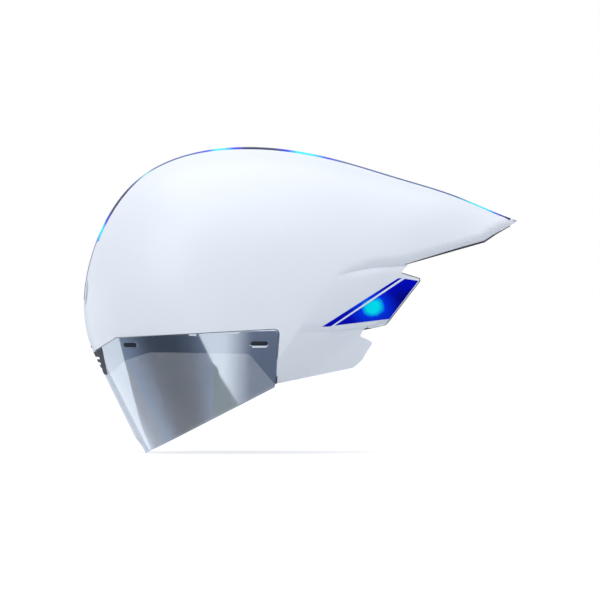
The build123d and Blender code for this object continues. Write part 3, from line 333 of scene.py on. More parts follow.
class HelmetStudio(PropertyGroup):
    """Camera, floor and lights."""
    view_width: measure("View Width", "Width of the camera's view at the helmet", 504)
    camera_distance: measure("Camera Distance", "Distance of the camera from the helmet", 5600)
    aim_ahead: measure("Aim Along", "Place along the helmet that the camera looks at", 56.7)
    aim_level: measure("Aim Level", "Level that the camera looks at", 1)
    floor_size: measure("Floor Size", "Side of the floor", 30000)
    floor_glow: FloatProperty(name="Floor Glow", description="How much whiter than lit the floor shows",
                              default=0.68)
    top_power: FloatProperty(name="Top Power", description="Power of the soft box above", default=24.0,
                             unit="POWER")
    front_power: FloatProperty(name="Front Power", description="Power of the soft box at the camera's side",
                                default=11.0, unit="POWER")
    sky_strength: FloatProperty(name="Sky Strength", description="Strength of the room's light", default=0.56)
    card_strength: FloatProperty(name="Card Strength", description="Strength of the bright cards", default=1.5)
    grey_strength: FloatProperty(name="Grey Strength", description="Brightness of the grey cards", default=0.36)
    card_distance: measure("Card Distance", "Distance of the bright cards from the middle", 400)


def sizes_now():
    """The sizes as they are set."""
    return bpy.context.scene.helmet_sizes


def colours_now():
    """The colours as they are set."""
    return bpy.context.scene.helmet_colours


def side(x_share, z_share):
    """A place in the side view, from its shares of the helmet's length and height."""
    sizes = sizes_now()
    return np.array([(x_share - SEAT_SHARE[0]) * sizes.length, (z_share - SEAT_SHARE[1]) * sizes.height])


def outline(shares):
    """The points of an outline in the side view."""
    return np.array([side(*share) for share in shares])


def unit(vector):
    """A vector's direction."""
    return vector / np.linalg.norm(vector)


def neighbours(points):
    """Each point of a closed outline between the one before it and the one after it."""
    return zip(np.roll(points, 1, axis=0), points, np.roll(points, -1, axis=0))


def rounded(points, radius, round_corner=None, round_radius=0):
    """A closed outline with each corner turned into a small arc, and one into a larger one."""
    made = []
    for index, (last, corner, following) in enumerate(neighbours(points)):
        back = last - corner
        ahead = following - corner
        wanted = round_radius if index == round_corner else radius
        reach = min(wanted, np.linalg.norm(back) / 3, np.linalg.norm(ahead) / 3)
        start = corner + unit(back) * reach
        end = corner + unit(ahead) * reach
        for step in range(ARC_STEPS + 1):
            t = step / ARC_STEPS
            made.append((1 - t) ** 2 * start + 2 * t * (1 - t) * corner + t ** 2 * end)
    return np.array(made)


def inside(points, polygon):
    """Which points lie inside a closed outline."""
    found = np.zeros(len(points), bool)
    for start, end in zip(polygon, np.roll(polygon, -1, axis=0)):
        crosses = (start[1] > points[:, 1]) != (end[1] > points[:, 1])
        rise = end[1] - start[1]
        if abs(rise) < 1e-12:
            continue
        place = start[0] + (points[:, 1] - start[1]) / rise * (end[0] - start[0])
        found ^= crosses & (points[:, 0] < place)
    return found


def grown(points, amount):
    """An outline moved outwards by the given amount."""
    turned = np.sum(points[:, 0] * np.roll(points[:, 1], -1) - np.roll(points[:, 0], -1) * points[:, 1])
    sign = math.copysign(1, turned)
    made = []
    for last, point, following in neighbours(points):
        before = unit(point - last)
        after = unit(following - point)
        out = unit(np.array([before[1] + after[1], -before[0] - after[0]]) * sign)
        straight = np.array([before[1], -before[0]]) * sign
        made.append(point + out * amount / max(out @ straight, MITRE_LIMIT))
    return np.array(made)


def path_distance(points, path):
    """Distance from points to an open path in the side view, positive above it."""
    best = np.full(len(points), np.inf)
    signed = np.zeros(len(points))
    for start, end in zip(path[:-1], path[1:]):
        along = end - start
        length = np.linalg.norm(along)
        along = along / length
        reach = np.clip((points - start) @ along, 0, length)
        gap = points - start - reach[:, None] * along
        distance = np.linalg.norm(gap, axis=1)
        above = (points - start) @ np.array([-along[1], along[0]])
        nearer = distance < best
        best[nearer] = distance[nearer]
        signed[nearer] = np.where(above[nearer] >= 0, 1, -1) * distance[nearer]
    return signed


def spline_weights(knots, places):
    """Rows that turn values at the knots into a natural cubic spline's values at the places."""
    count = len(knots)
    steps = np.diff(knots)
    system = np.eye(count)
    right = np.zeros((count, count))
    for i in range(1, count - 1):
        system[i, i - 1:i + 2] = steps[i - 1], 2 * (steps[i - 1] + steps[i]), steps[i]
        right[i, i - 1:i + 2] = 6 / steps[i - 1], -6 / steps[i - 1] - 6 / steps[i], 6 / steps[i]
    bends = np.linalg.solve(system, right)
    index = np.clip(np.searchsorted(knots, places) - 1, 0, count - 2)
    step = steps[index]
    after = (places - knots[index]) / step
    before = 1 - after
    unit = np.eye(count)
    weights = before[:, None] * unit[index] + after[:, None] * unit[index + 1]
    weights += ((before ** 3 - before) * step ** 2 / 6)[:, None] * bends[index]
    weights += ((after ** 3 - after) * step ** 2 / 6)[:, None] * bends[index + 1]
    return weights


def hoop_frames():
    """Each hoop's direction from the pivot, half widths, reach, shoulder and hem."""
    sizes = sizes_now()
    pivot = side(*PIVOT_SHARE)
    frames = []
    for shares in HOOP_SHARES:
        width_share, shoulder_share, crown_share, side_share, hem_share = shares[2:]
        spoke = side(*shares[:2]) - pivot
        reach = np.linalg.norm(spoke)
        width = sizes.width / 2 * width_share
        shoulder = reach * max(shoulder_share, HEM_RISE_SHARE * SHOULDER_OVER_HEM_SHARE)
        frames.append((spoke / reach, reach, width, crown_share, side_share, shoulder,
                       sizes.width / 2 * hem_share, reach * HEM_RISE_SHARE))
    return pivot, frames


def crown_curve(hoop, t):
    """Across and up on a hoop's crown, from the crest at 0 to the shoulder at 1."""
    reach, width, crown_share, side_share, shoulder = hoop[1:6]
    fall = reach - shoulder
    across = 3 * (1 - t) ** 2 * t * crown_share * width + 3 * (1 - t) * t ** 2 * width + t ** 3 * width
    up = reach - 3 * (1 - t) * t ** 2 * fall * (1 - side_share) - t ** 3 * fall
    return across, up


def side_curve(hoop, t):
    """Across and up on a hoop's side, from the shoulder at 0 to the hem at 1."""
    width, shoulder, hem_width, hem = hoop[2], hoop[5], hoop[6], hoop[7]
    across = (1 - t) ** 2 * width + 2 * (1 - t) * t * width + t ** 2 * hem_width
    up = (1 - t) ** 2 * shoulder + (1 - t) * t * (shoulder + hem) + t ** 2 * hem
    return across, up


def hoop_knots():
    """How far along the crest each hoop stands."""
    crests = outline([shares[:2] for shares in HOOP_SHARES])
    gaps = np.linalg.norm(np.diff(crests, axis=0), axis=1)
    return np.concatenate([[0], np.cumsum(gaps)])


def hoop_points(curves):
    """Points of all hoops from their across and up values, as hoops by columns by three."""
    pivot, hoops = hoop_frames()
    made = []
    for hoop, (across, up) in zip(hoops, curves):
        spoke = hoop[0]
        made.append(np.stack([pivot[0] + up * spoke[0], across, pivot[1] + up * spoke[1]], axis=-1))
    return np.array(made)


def shell_grid():
    """The smooth form of the shell as a grid of points, from front to back and from left to right."""
    hoops = hoop_frames()[1]
    crown = np.linspace(0, 1, CROWN_COLUMNS + 1)
    below = np.linspace(0, 1, SIDE_COLUMNS + 1)[1:]
    curves = []
    for hoop in hoops:
        crown_across, crown_up = crown_curve(hoop, crown)
        side_across, side_up = side_curve(hoop, below)
        across = np.concatenate([crown_across, side_across])
        up = np.concatenate([crown_up, side_up])
        curves.append((np.concatenate([-across[:0:-1], across]), np.concatenate([up[:0:-1], up])))
    knots = hoop_knots()
    weights = spline_weights(knots, np.linspace(knots[0], knots[-1], SHELL_ROWS + 1))
    return np.einsum("ri,ick->rck", weights, hoop_points(curves))


def add_grid(bm, points, turned=False):
    """Adds a grid of points and the quads between them to a bmesh, and gives back its corners."""
    rows, columns = points.shape[:2]
    verts = [bm.verts.new(point) for point in points.reshape(-1, 3)]
    for row in range(rows - 1):
        for first in range(row * columns, (row + 1) * columns - 1):
            ring = [verts[first], verts[first + 1], verts[first + columns + 1], verts[first + columns]]
            bm.faces.new(ring[::-1] if turned else ring)
    return verts


def grid_mesh(points):
    """A bmesh of quads over a grid of points."""
    bm = bmesh.new()
    add_grid(bm, points)
    return bm


def face_places(bm):
    """The middle of each face in the side view."""
    return np.array([face.calc_center_median() for face in bm.faces]).reshape(-1, 3)[:, [0, 2]]


def cut_along(bm, path, reach):
    """Runs edges of the mesh along a path in the side view."""
    low = path.min(axis=0) - reach
    high = path.max(axis=0) + reach
    near = {face for face, place in zip(bm.faces, face_places(bm))
            if low[0] < place[0] < high[0] and low[1] < place[1] < high[1]}
    for start, end in zip(path[:-1], path[1:]):
        along = end - start
        length = np.linalg.norm(along)
        if length < MERGE_DISTANCE:
            continue
        along_x, along_z = along / length
        picked = []
        for face in near:
            middle = face.calc_center_median()
            ahead = (middle.x - start[0]) * along_x + (middle.z - start[1]) * along_z
            aside = (middle.z - start[1]) * along_x - (middle.x - start[0]) * along_z
            if -reach < ahead < length + reach and abs(aside) < reach:
                picked.append(face)
        if not picked:
            continue
        edges = list({edge for face in picked for edge in face.edges})
        verts = list({vert for face in picked for vert in face.verts})
        cut = bmesh.ops.bisect_plane(bm, geom=picked + edges + verts, dist=MERGE_DISTANCE,
                                     plane_co=(start[0], 0, start[1]), plane_no=(-along_z, 0, along_x))
        near.update(item for item in cut["geom"] if isinstance(item, bmesh.types.BMFace))
        near = {face for face in near if face.is_valid}


def keep_faces(bm, kept):
    """Deletes the faces that aren't marked as kept."""
    bm.faces.ensure_lookup_table()
    gone = [face for face, keep in zip(bm.faces, kept) if not keep]
    bmesh.ops.delete(bm, geom=gone, context="FACES")


def closed(path):
    """A path that ends where it starts."""
    return np.vstack([path, path[:1]])


def crease_depth(points):
    """How far the shell is tucked in at places of the side view, below its two creases."""
    sizes = sizes_now()
    pivot, hoops = hoop_frames()
    angles = [math.atan2(hoop[0][1], hoop[0][0]) for hoop in hoops]
    spokes = points - pivot
    share = np.interp(-np.arctan2(spokes[:, 1], spokes[:, 0]), -np.array(angles), TUCK_SHARES)
    total = np.zeros(len(points))
    for shares, tuck in ((UPPER_CREASE_SHARES, sizes.mid_fin_tuck), (LOWER_CREASE_SHARES, sizes.ear_fin_tuck)):
        distance = path_distance(points, outline(shares))
        flat = tuck * share
        valley = flat + sizes.crease_dip * np.minimum(1, 3 * share)
        above = valley * np.clip(1 - distance / sizes.crease_above, 0, 1) ** 2
        below = flat + (valley - flat) * np.clip(1 + distance / sizes.crease_below, 0, 1) ** 2
        total += np.where(distance >= 0, above, below)
    return total


def spots_of(bm):
    """The places of a mesh's points in the side view."""
    return np.array([(vert.co.x, vert.co.z) for vert in bm.verts])


def tuck_in(bm):
    """Moves the shell's surface in from the sides at its creases."""
    for vert, depth in zip(bm.verts, crease_depth(spots_of(bm))):
        vert.co.y -= math.copysign(min(depth, abs(vert.co.y)), vert.co.y)


def shell_sheet():
    """The shell's outside as one sheet, cut at its hem and round the visor and creased at the fins."""
    sizes = sizes_now()
    bm = grid_mesh(shell_grid())
    bmesh.ops.recalc_face_normals(bm, faces=bm.faces)
    reach = sizes.length / SHELL_ROWS * SHELL_CUT_ROWS
    for shares in (UPPER_CREASE_SHARES, LOWER_CREASE_SHARES):
        line = outline(shares)
        for share in CREASE_CUTS:
            extent = sizes.crease_above if share >= 0 else sizes.crease_below
            cut_along(bm, line + np.array([0, extent * share]), reach)
    tuck_in(bm)
    hem = rounded(outline(SHELL_HEM_SHARES), sizes.corner_round)
    lens_hole = lens_edge(sizes.lens_edge_gap)
    cut_along(bm, closed(hem), reach)
    cut_along(bm, closed(lens_hole), reach)
    places = face_places(bm)
    keep_faces(bm, inside(places, hem) & ~inside(places, lens_hole))
    bmesh.ops.remove_doubles(bm, verts=bm.verts, dist=SHELL_WELD)
    return bm


def lens_edge(growth):
    """The visor's outline in the side view, grown by the given amount."""
    sizes = sizes_now()
    edge = outline(LENS_OUTLINE_SHARES)
    return rounded(grown(edge, growth) if growth else edge, sizes.corner_round / 2, LENS_ROUND_CORNER,
                   sizes.lens_corner + growth)


def clear_skin(piece, all_over=False):
    """Moves what would stand in the shell's wall, where it is creased or all over, to just under it."""
    outside = bpy.data.meshes["shell_outside"]
    tree = BVHTree.FromPolygons([vert.co for vert in outside.vertices],
                                [tuple(face.vertices) for face in outside.polygons])
    bm = bmesh.new()
    bm.from_mesh(piece.data)
    for _ in range(2):
        creased = (crease_depth(spots_of(bm)) > CREASED_FROM) | all_over
        bm.verts.index_update()
        long_edges = [edge for edge in bm.edges if edge.calc_length() > SKIN_EDGE
                      and any(creased[vert.index] for vert in edge.verts)]
        if long_edges:
            bmesh.ops.subdivide_edges(bm, edges=long_edges, cuts=1)
    room = sizes_now().shell_wall + SKIN_ROOM
    for vert, wanted in zip(bm.verts, (crease_depth(spots_of(bm)) > CREASED_FROM) | all_over):
        place, normal, _, gap = tree.find_nearest(vert.co, SKIN_REACH) if wanted else (None,) * 4
        if place is None:
            continue
        under = (place - vert.co).dot(normal)
        if under < room and abs(under) > SKIN_STRAIGHT_SHARE * gap:
            vert.co -= normal * (room - under)
    bm.to_mesh(piece.data)
    bm.free()


def face_outwards(bm):
    """Turns a sheet's faces away from the middle of the helmet."""
    bm.normal_update()
    lean = sum(face.calc_center_median().dot(face.normal) * face.calc_area() for face in bm.faces)
    if lean < 0:
        bmesh.ops.reverse_faces(bm, faces=bm.faces)
    bm.normal_update()


def linked(name, data):
    """A new object in the scene with the given mesh, lamp or camera."""
    made = bpy.data.objects.new(name, data)
    bpy.context.scene.collection.objects.link(made)
    return made


def drawn(name, points, edges=(), faces=()):
    """A linked object with a mesh of the given points, edges and faces."""
    mesh = bpy.data.meshes.new(name)
    mesh.from_pydata(points, edges, faces)
    return linked(name, mesh)


def piece_from(bm, name):
    """A linked object with the bmesh as its mesh, shaded smooth."""
    mesh = bpy.data.meshes.new(name)
    bm.to_mesh(mesh)
    bm.free()
    mesh.shade_smooth()
    return linked(name, mesh)


def keep_result(piece):
    """Turns what a piece's modifiers make into its own mesh."""
    graph = bpy.context.evaluated_depsgraph_get()
    mesh = bpy.data.meshes.new_from_object(piece.evaluated_get(graph))
    old = piece.data
    piece.modifiers.clear()
    piece.data = mesh
    bpy.data.meshes.remove(old)
    mesh.name = piece.name
    return mesh


def settle(piece):
    """Keeps what a piece's modifiers make, smooth up to its sharp edges."""
    mesh = keep_result(piece)
    mesh.shade_smooth()
    mesh.set_sharp_from_angle(angle=math.radians(SHARP_DEG))
    return piece


def bevel(piece, width, angle_deg=SHEET_ROUND_DEG):
    """Rounds a piece's sharp edges."""
    edge = piece.modifiers.new("Edge", "BEVEL")
    edge.width = width
    edge.segments = 2
    edge.limit_method = "ANGLE"
    edge.angle_limit = math.radians(angle_deg)
    return edge


def wall(piece, thickness):
    """Gives a sheet its wall, inwards from its face."""
    solid = piece.modifiers.new("Wall", "SOLIDIFY")
    solid.thickness = thickness
    solid.offset = -1
    return solid


def thicken(piece, thickness, rounding):
    """Gives a sheet its wall and rounds its edges."""
    wall(piece, thickness)
    bevel(piece, rounding)
    return settle(piece)


def carve(piece, cutter):
    """Cuts one mesh out of another and removes the cutter."""
    cut = piece.modifiers.new("Cut", "BOOLEAN")
    cut.operation = "DIFFERENCE"
    cut.solver = "EXACT"
    cut.object = cutter
    settle(piece)
    bpy.data.objects.remove(cutter)


def prism(bm, ring, push):
    """A closed block between a ring of points and the same ring pushed along."""
    near = [bm.verts.new(point) for point in ring]
    far = [bm.verts.new(Vector(point) + Vector(push)) for point in ring]
    bm.faces.new(near)
    bm.faces.new(far[::-1])
    for index in range(-1, len(ring) - 1):
        bm.faces.new([near[index + 1], near[index], far[index], far[index + 1]])


def cutter_from(bm, name):
    """A linked cutter whose faces point outwards."""
    bmesh.ops.recalc_face_normals(bm, faces=bm.faces)
    return piece_from(bm, name)


def assign(piece, body, slot, *nodes):
    """Gives a piece its body and hides the frame's nodes that it stands for; the slot is not used."""
    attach(piece, body)
    if nodes:
        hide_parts(*nodes)


def dress(piece, body, slot, material, *nodes):
    """Gives a piece its one material and its body, and hides the frame's nodes that it stands for; the slot is not
    used.
    """
    piece.data.materials.clear()
    piece.data.materials.append(finish_of(material))
    assign(piece, body, slot, *nodes)


def finish_parts(rows):
    """Copies of nodes with rounded edges and their own materials."""
    for body, slot, material, share, *nodes in rows:
        for node in nodes:
            piece = hard_copy(node, node + "_finish", sizes_now().trim_round * share)
            dress(piece, body, slot, material, node)


def intake_cutter():
    """Both crescent intakes as blocks through the front."""
    sizes = sizes_now()
    level = side(0, INTAKE_LEVEL_SHARE)[1]
    tall = sizes.intake_height / 2
    wide = sizes.intake_width / 2
    bm = bmesh.new()
    for sign in (-1, 1):
        middle = sign * sizes.intake_spacing / 2
        ring = []
        for bulge in (1, -CRESCENT_SHARE):
            drop = wide * (1 + bulge)
            radius = (tall ** 2 + drop ** 2) / (2 * drop)
            half = math.asin(min(tall / radius, 1))
            steps = np.linspace(half, -half, CRESCENT_STEPS + 1)
            if bulge < 0:
                steps = steps[::-1]
            for angle in steps[:-1]:
                across = -wide + drop - radius + radius * math.cos(angle)
                ring.append((-sizes.length, middle + sign * across, level + radius * math.sin(angle)))
        prism(bm, ring, (sizes.length * 0.9, 0, 0))
    return cutter_from(bm, "intake_cutter")


def lens_point(angle, level, inset):
    """A place on the visor's form: past a quarter turn either way, the straight walls behind the widest place."""
    sizes = sizes_now()
    ends = []
    for z_share, front_share, side_share, rear_share in LENS_LEVEL_SHARES:
        front, height = side(front_share, z_share)
        widest = side(LENS_WIDEST_SHARE, z_share)[0]
        rear = side(LENS_REAR_SHARE, z_share)[0]
        half = sizes.width / 2 * side_share - inset
        rear_half = sizes.width / 2 * rear_share - inset
        quarter = math.pi / 2
        if abs(angle) <= quarter:
            x = widest - (widest - front - inset) * math.cos(angle)
            y = half * math.sin(angle)
        else:
            share = (abs(angle) - quarter) / quarter
            x = widest + (rear - widest) * share
            y = math.copysign(half + (rear_half - half) * share, angle)
        ends.append((x, y, height))
    share = (ends[0][2] - level) / (ends[0][2] - ends[1][2])
    return [a + (b - a) * share for a, b in zip(*ends)]


def lens_grid(inset):
    """The visor's form, set in by the given amount, as a grid of points from top to bottom."""
    quarter = math.pi / 2
    angles = np.concatenate([
        np.linspace(-2 * quarter, -quarter, LENS_WALL_COLUMNS + 1)[:-1],
        np.linspace(-quarter, quarter, LENS_COLUMNS + 1),
        np.linspace(quarter, 2 * quarter, LENS_WALL_COLUMNS + 1)[1:],
    ])
    top = side(0, LENS_LEVEL_SHARES[0][0])[1]
    bottom = side(0, LENS_LEVEL_SHARES[1][0])[1]
    levels = np.linspace(top, bottom, LENS_ROWS + 1)
    return np.array([[lens_point(angle, level, inset) for angle in angles] for level in levels])


def lens_cutter():
    """The slots of the magnet pills and the notch over the nose, as blocks."""
    sizes = sizes_now()
    bm = bmesh.new()
    for x_share, z_share in PILL_SHARES:
        x, z = side(x_share, z_share)
        level_share = LENS_LEVEL_SHARES[0]
        front = side(level_share[1], 0)[0]
        widest = side(LENS_WIDEST_SHARE, 0)[0]
        half = sizes.width / 2 * level_share[2]
        long_radius = widest - front
        ahead = min(max((widest - x) / long_radius, 0), 1)
        y = half * math.sqrt(1 - ahead * ahead)
        for sign in (-1, 1):
            normal = Vector((-ahead / long_radius, sign * y / half / half, 0)).normalized()
            along = Vector((0, 0, 1)).cross(normal)
            radius = sizes.pill_width / 2 + sizes.pill_gap
            straight = (sizes.pill_length - sizes.pill_width) / 2
            ring = []
            for end in (1, -1):
                for step in range(PILL_END_STEPS + 1):
                    turn = math.pi * (step / PILL_END_STEPS - 0.5)
                    reach = end * (straight + radius * math.cos(turn))
                    spot = Vector((x, sign * y, z)) + along * reach
                    ring.append(spot + Vector((0, 0, end * math.sin(turn) * radius)) - normal * sizes.pill_length)
            prism(bm, ring, normal * 2 * sizes.pill_length)
    notch = []
    for step in range(NOTCH_STEPS):
        turn = 2 * math.pi * step / NOTCH_STEPS
        notch.append((-sizes.length, sizes.nose_width / 2 * math.cos(turn),
                      side(0, 0)[1] + sizes.nose_height * math.sin(turn)))
    prism(bm, notch, (sizes.length, 0, 0))
    return cutter_from(bm, "lens_cutter")


def lens_sheet(inset, keep, cuts):
    """A sheet on the visor's form, cut along outlines and kept where the test says."""
    bm = grid_mesh(lens_grid(inset))
    face_outwards(bm)
    for cut in cuts:
        cut_along(bm, closed(cut), LENS_CUT_REACH)
    keep_faces(bm, keep(face_places(bm)))
    bmesh.ops.remove_doubles(bm, verts=bm.verts, dist=LENS_WELD)
    face_outwards(bm)
    return bm


def hard_copy(node, name, rounding=None):
    """A merged copy of a node of the frame with smooth faces and rounded edges."""
    bm = bmesh.new()
    bm.from_mesh(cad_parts[node].data)
    bmesh.ops.remove_doubles(bm, verts=bm.verts, dist=MERGE_DISTANCE)
    if rounding:
        bmesh.ops.dissolve_limit(bm, angle_limit=math.radians(FLAT_DEG), verts=bm.verts, edges=bm.edges)
    piece = piece_from(bm, name)
    if rounding:
        bevel(piece, rounding, NODE_ROUND_DEG)
    weigh = piece.modifiers.new("Weigh", "WEIGHTED_NORMAL")
    weigh.keep_sharp = True
    piece.data.set_sharp_from_angle(angle=math.radians(NODE_SHARP_DEG))
    return piece


# Materials

def add_node(tree, kind, inputs=None, **settings):
    """A shader or geometry node with its settings, and its inputs set or linked."""
    made = tree.nodes.new(kind)
    for name, value in settings.items():
        setattr(made, name, value)
    for socket, value in (inputs or {}).items():
        if isinstance(value, bpy.types.NodeSocket):
            tree.links.new(value, made.inputs[socket])
        else:
            made.inputs[socket].default_value = value
    return made


def calc(tree, operation, *values, clamp=False):
    """What a math node gives."""
    return add_node(tree, "ShaderNodeMath", dict(enumerate(values)), operation=operation, use_clamp=clamp).outputs[0]


def moved(tree, value, low, high, from_low=0.0, from_high=1.0, **settings):
    """A value moved from one range to another."""
    return add_node(tree, "ShaderNodeMapRange", {"Value": value, "From Min": from_low, "From Max": from_high,
                                                 "To Min": low, "To Max": high}, **settings).outputs["Result"]


def vector_calc(tree, operation, *values, output="Vector"):
    """What a vector math node gives."""
    return add_node(tree, "ShaderNodeVectorMath", dict(enumerate(values)), operation=operation).outputs[output]


def scaled(tree, vector, scale):
    """A vector or colour times a value."""
    return add_node(tree, "ShaderNodeVectorMath", {0: vector, "Scale": scale}, operation="SCALE").outputs["Vector"]


def blended(tree, factor, first, second):
    """Two colours mixed."""
    return add_node(tree, "ShaderNodeMix", {"Factor": factor, 6: first, 7: second}, data_type="RGBA").outputs[2]


def noise(tree, place, scale, detail, output="Fac", **inputs):
    """A cloudy pattern."""
    return add_node(tree, "ShaderNodeTexNoise",
                    {"Vector": place, "Scale": scale, "Detail": detail, **inputs}).outputs[output]


def feed(tree, target, **values):
    """Links values to a node's sockets of the same names."""
    for label, value in values.items():
        tree.links.new(value, target.inputs[label.replace("_", " ")])


def fill_ramp(tree, value, stops):
    """A colour ramp with the given places and colours."""
    ramp = add_node(tree, "ShaderNodeValToRGB", {"Fac": value})
    marks = ramp.color_ramp.elements
    for index, (place, colour) in enumerate(stops):
        stop = marks[index] if index < 2 else marks.new(place)
        stop.position = place
        stop.color = colour
    return ramp.outputs["Color"]


def group_tree(name, inputs, outputs):
    """An empty shader node group with named sockets."""
    tree = bpy.data.node_groups.new(name, "ShaderNodeTree")
    for label, kind, value in inputs:
        socket = tree.interface.new_socket(label, in_out="INPUT", socket_type="NodeSocket" + kind)
        if value is not None:
            socket.default_value = value
    for label, kind in outputs:
        tree.interface.new_socket(label, in_out="OUTPUT", socket_type="NodeSocket" + kind)
    return tree, add_node(tree, "NodeGroupInput").outputs, add_node(tree, "NodeGroupOutput")


def moulded_grain(name):
    """Fine moulded grain: a roughness that varies and a height for a bump."""
    tree, given, out = group_tree(
        name, [("Vector", "Vector", None), ("Scale", "Float", 900.0), ("Roughness", "Float", 0.45),
               ("Spread", "Float", 0.12)], [("Roughness", "Float"), ("Height", "Float")])
    around = calc(tree, "SUBTRACT", noise(tree, given["Vector"], 38.0, 3.0), 0.5)
    total = calc(tree, "ADD", calc(tree, "MULTIPLY", around, given["Spread"]), given["Roughness"], clamp=True)
    feed(tree, out, Roughness=total, Height=noise(tree, given["Vector"], given["Scale"], 4.0))
    return tree


def handling_marks(name):
    """Faint handling marks and settled dust, as a colour that drifts towards another one."""
    tree, given, out = group_tree(
        name, [("Vector", "Vector", None), ("Colour", "Color", (1, 1, 1, 1)),
               ("Mark Colour", "Color", (0.5, 0.5, 0.5, 1)), ("Amount", "Float", 0.1), ("Scale", "Float", 22.0)],
        [("Colour", "Color"), ("Mask", "Float")])
    cloud = noise(tree, given["Vector"], given["Scale"], 6.0, Roughness=0.62)
    mask = calc(tree, "MULTIPLY", moved(tree, cloud, 0.0, 1.0, 0.42, 0.78), given["Amount"], clamp=True)
    feed(tree, out, Colour=blended(tree, mask, given["Colour"], given["Mark Colour"]), Mask=mask)
    return tree


def plain_weave(name):
    """Plain weave: threads that pass over and under each other, as a height and a colour with painted shade in the
    hollows between the threads and a painted highlight on their tops.
    """
    # Lift is how many times brighter the threads' tops are painted: a painted highlight.
    tree, given, out = group_tree(
        name, [("Along", "Float", 0.0), ("Across", "Float", 0.0), ("Thread", "Float", 0.0008),
               ("Colour", "Color", (0.02, 0.02, 0.02, 1)), ("Lift", "Float", 1.9)],
        [("Colour", "Color"), ("Height", "Float")])
    waves = []
    for label in ("Along", "Across"):
        turns = calc(tree, "DIVIDE", given[label], given["Thread"])
        waves.append(calc(tree, "SINE", calc(tree, "MULTIPLY", turns, math.pi)))
    over = calc(tree, "GREATER_THAN", calc(tree, "MULTIPLY", *waves), 0.0)
    warp, weft = (calc(tree, "ABSOLUTE", wave) for wave in waves)
    height = add_node(tree, "ShaderNodeMix", {"Factor": over, "A": warp, "B": weft}, data_type="FLOAT")
    # Painted light: the colour is darkened to 0.45 where the threads dip and brightened up to Lift times on their
    # tops.
    painted_shade_and_highlight = moved(tree, height.outputs["Result"], 0.45, given["Lift"])
    feed(tree, out, Colour=scaled(tree, given["Colour"], painted_shade_and_highlight), Height=height.outputs["Result"])
    return tree


def built_once(maker):
    """The node tree that a function makes, made when it is first asked for."""
    return bpy.data.node_groups.get(maker.__name__) or maker(maker.__name__)


def placed(tree, maker, **inputs):
    """The outputs of a shared group, placed in a material with its own values."""
    values = {label.replace("_", " "): value for label, value in inputs.items()}
    return add_node(tree, "ShaderNodeGroup", values, node_tree=built_once(maker)).outputs


def empty_tree(data):
    """The emptied node tree of a material or a world."""
    data.use_nodes = True
    data.node_tree.nodes.clear()
    return data.node_tree


def blank_material(name, metallic=0.0, **inputs):
    """A material with one principled shader, its even values set on its own sockets."""
    made = bpy.data.materials.new(name)
    tree = empty_tree(made)
    shader = add_node(tree, "ShaderNodeBsdfPrincipled", {"Metallic": metallic})
    for label, value in inputs.items():
        shader.inputs[label.replace("_", " ")].default_value = value
    output = add_node(tree, "ShaderNodeOutputMaterial", {"Surface": shader.outputs[0]})
    output.is_active_output = True
    return tree, shader, add_node(tree, "ShaderNodeTexCoord").outputs["Object"]


def bump(tree, shader, height, strength, distance):
    """Feeds a height to a shader's normal."""
    made = add_node(tree, "ShaderNodeBump", {"Height": height, "Strength": strength, "Distance": distance})
    feed(tree, shader, Normal=made.outputs["Normal"])


def wear(tree, shader, place, colour, marks, **grain):
    """Handling marks on a shader's colour and grain in its roughness, with the grain's height given back."""
    worn = placed(tree, handling_marks, Vector=place, Colour=colour, **marks)
    fine = placed(tree, moulded_grain, Vector=place, **grain)
    feed(tree, shader, Base_Color=worn["Colour"], Roughness=fine["Roughness"])
    return fine["Height"]


def moulded(name, colour, roughness, scale, depth, marks=0.1, mark_colour=(0.16, 0.16, 0.17, 1), **inputs):
    """A moulded plastic or rubber with grain and faint marks; its colour is a value or one of the user's."""
    tree, shader, place = blank_material(name, **inputs)
    if isinstance(colour, str):
        colour = getattr(colours_now(), colour)
    height = wear(tree, shader, place, colour, {"Mark_Colour": mark_colour, "Amount": marks},
                  Scale=scale, Roughness=roughness)
    bump(tree, shader, height, 0.5, depth)


# Moulded finishes: colour, roughness, scale and depth of the grain, and what else differs
MOULDED = {
    "shell_paint": ("paint", 0.36, 260.0, 0.02 * MM, {
        "marks": 0.035, "mark_colour": (0.70, 0.74, 0.80, 1), "Coat_Weight": 0.22, "Coat_Roughness": 0.22}),
    "black_trim": ("trim", 0.42, 1500.0, 0.03 * MM, {}),
    "gloss_black": ("trim", 0.16, 300.0, 0.004 * MM, {"marks": 0.04}),
    "cradle_nylon": ("nylon", 0.5, 1300.0, 0.05 * MM, {"marks": 0.16}),
    "clip_acetal": ("trim", 0.3, 1100.0, 0.02 * MM, {"marks": 0.12}),
    "pinion_acetal": ((0.56, 0.56, 0.52, 1), 0.38, 900.0, 0.02 * MM, {
        "mark_colour": (0.36, 0.35, 0.30, 1), "Subsurface_Weight": 0.1}),
    "grip_rubber": ((0.016, 0.016, 0.018, 1), 0.72, 2100.0, 0.05 * MM, {
        "marks": 0.22, "mark_colour": (0.09, 0.09, 0.09, 1)}),
    "smoke_edge": ((0.030, 0.036, 0.055, 1), 0.2, 500.0, 0.004 * MM, {}),
    "ledge_black": ((0.020, 0.022, 0.028, 1), 0.5, 900.0, 0.03 * MM, {}),
}


def plated_steel():
    """Zinc-plated steel with fine turning lines."""
    tree, shader, place = blank_material("plated_steel", metallic=1.0)
    stretched = add_node(tree, "ShaderNodeMapping", {"Vector": place, "Scale": (2400.0, 160.0, 160.0)})
    lines = noise(tree, stretched.outputs[0], 1.0, 3.0)
    worn = placed(tree, handling_marks, Vector=place, Colour=(0.60, 0.60, 0.61, 1),
                  Mark_Colour=(0.34, 0.33, 0.32, 1), Amount=0.3, Scale=300.0)
    feed(tree, shader, Base_Color=worn["Colour"], Roughness=moved(tree, lines, 0.22, 0.42))
    bump(tree, shader, lines, 0.3, 0.01 * MM)


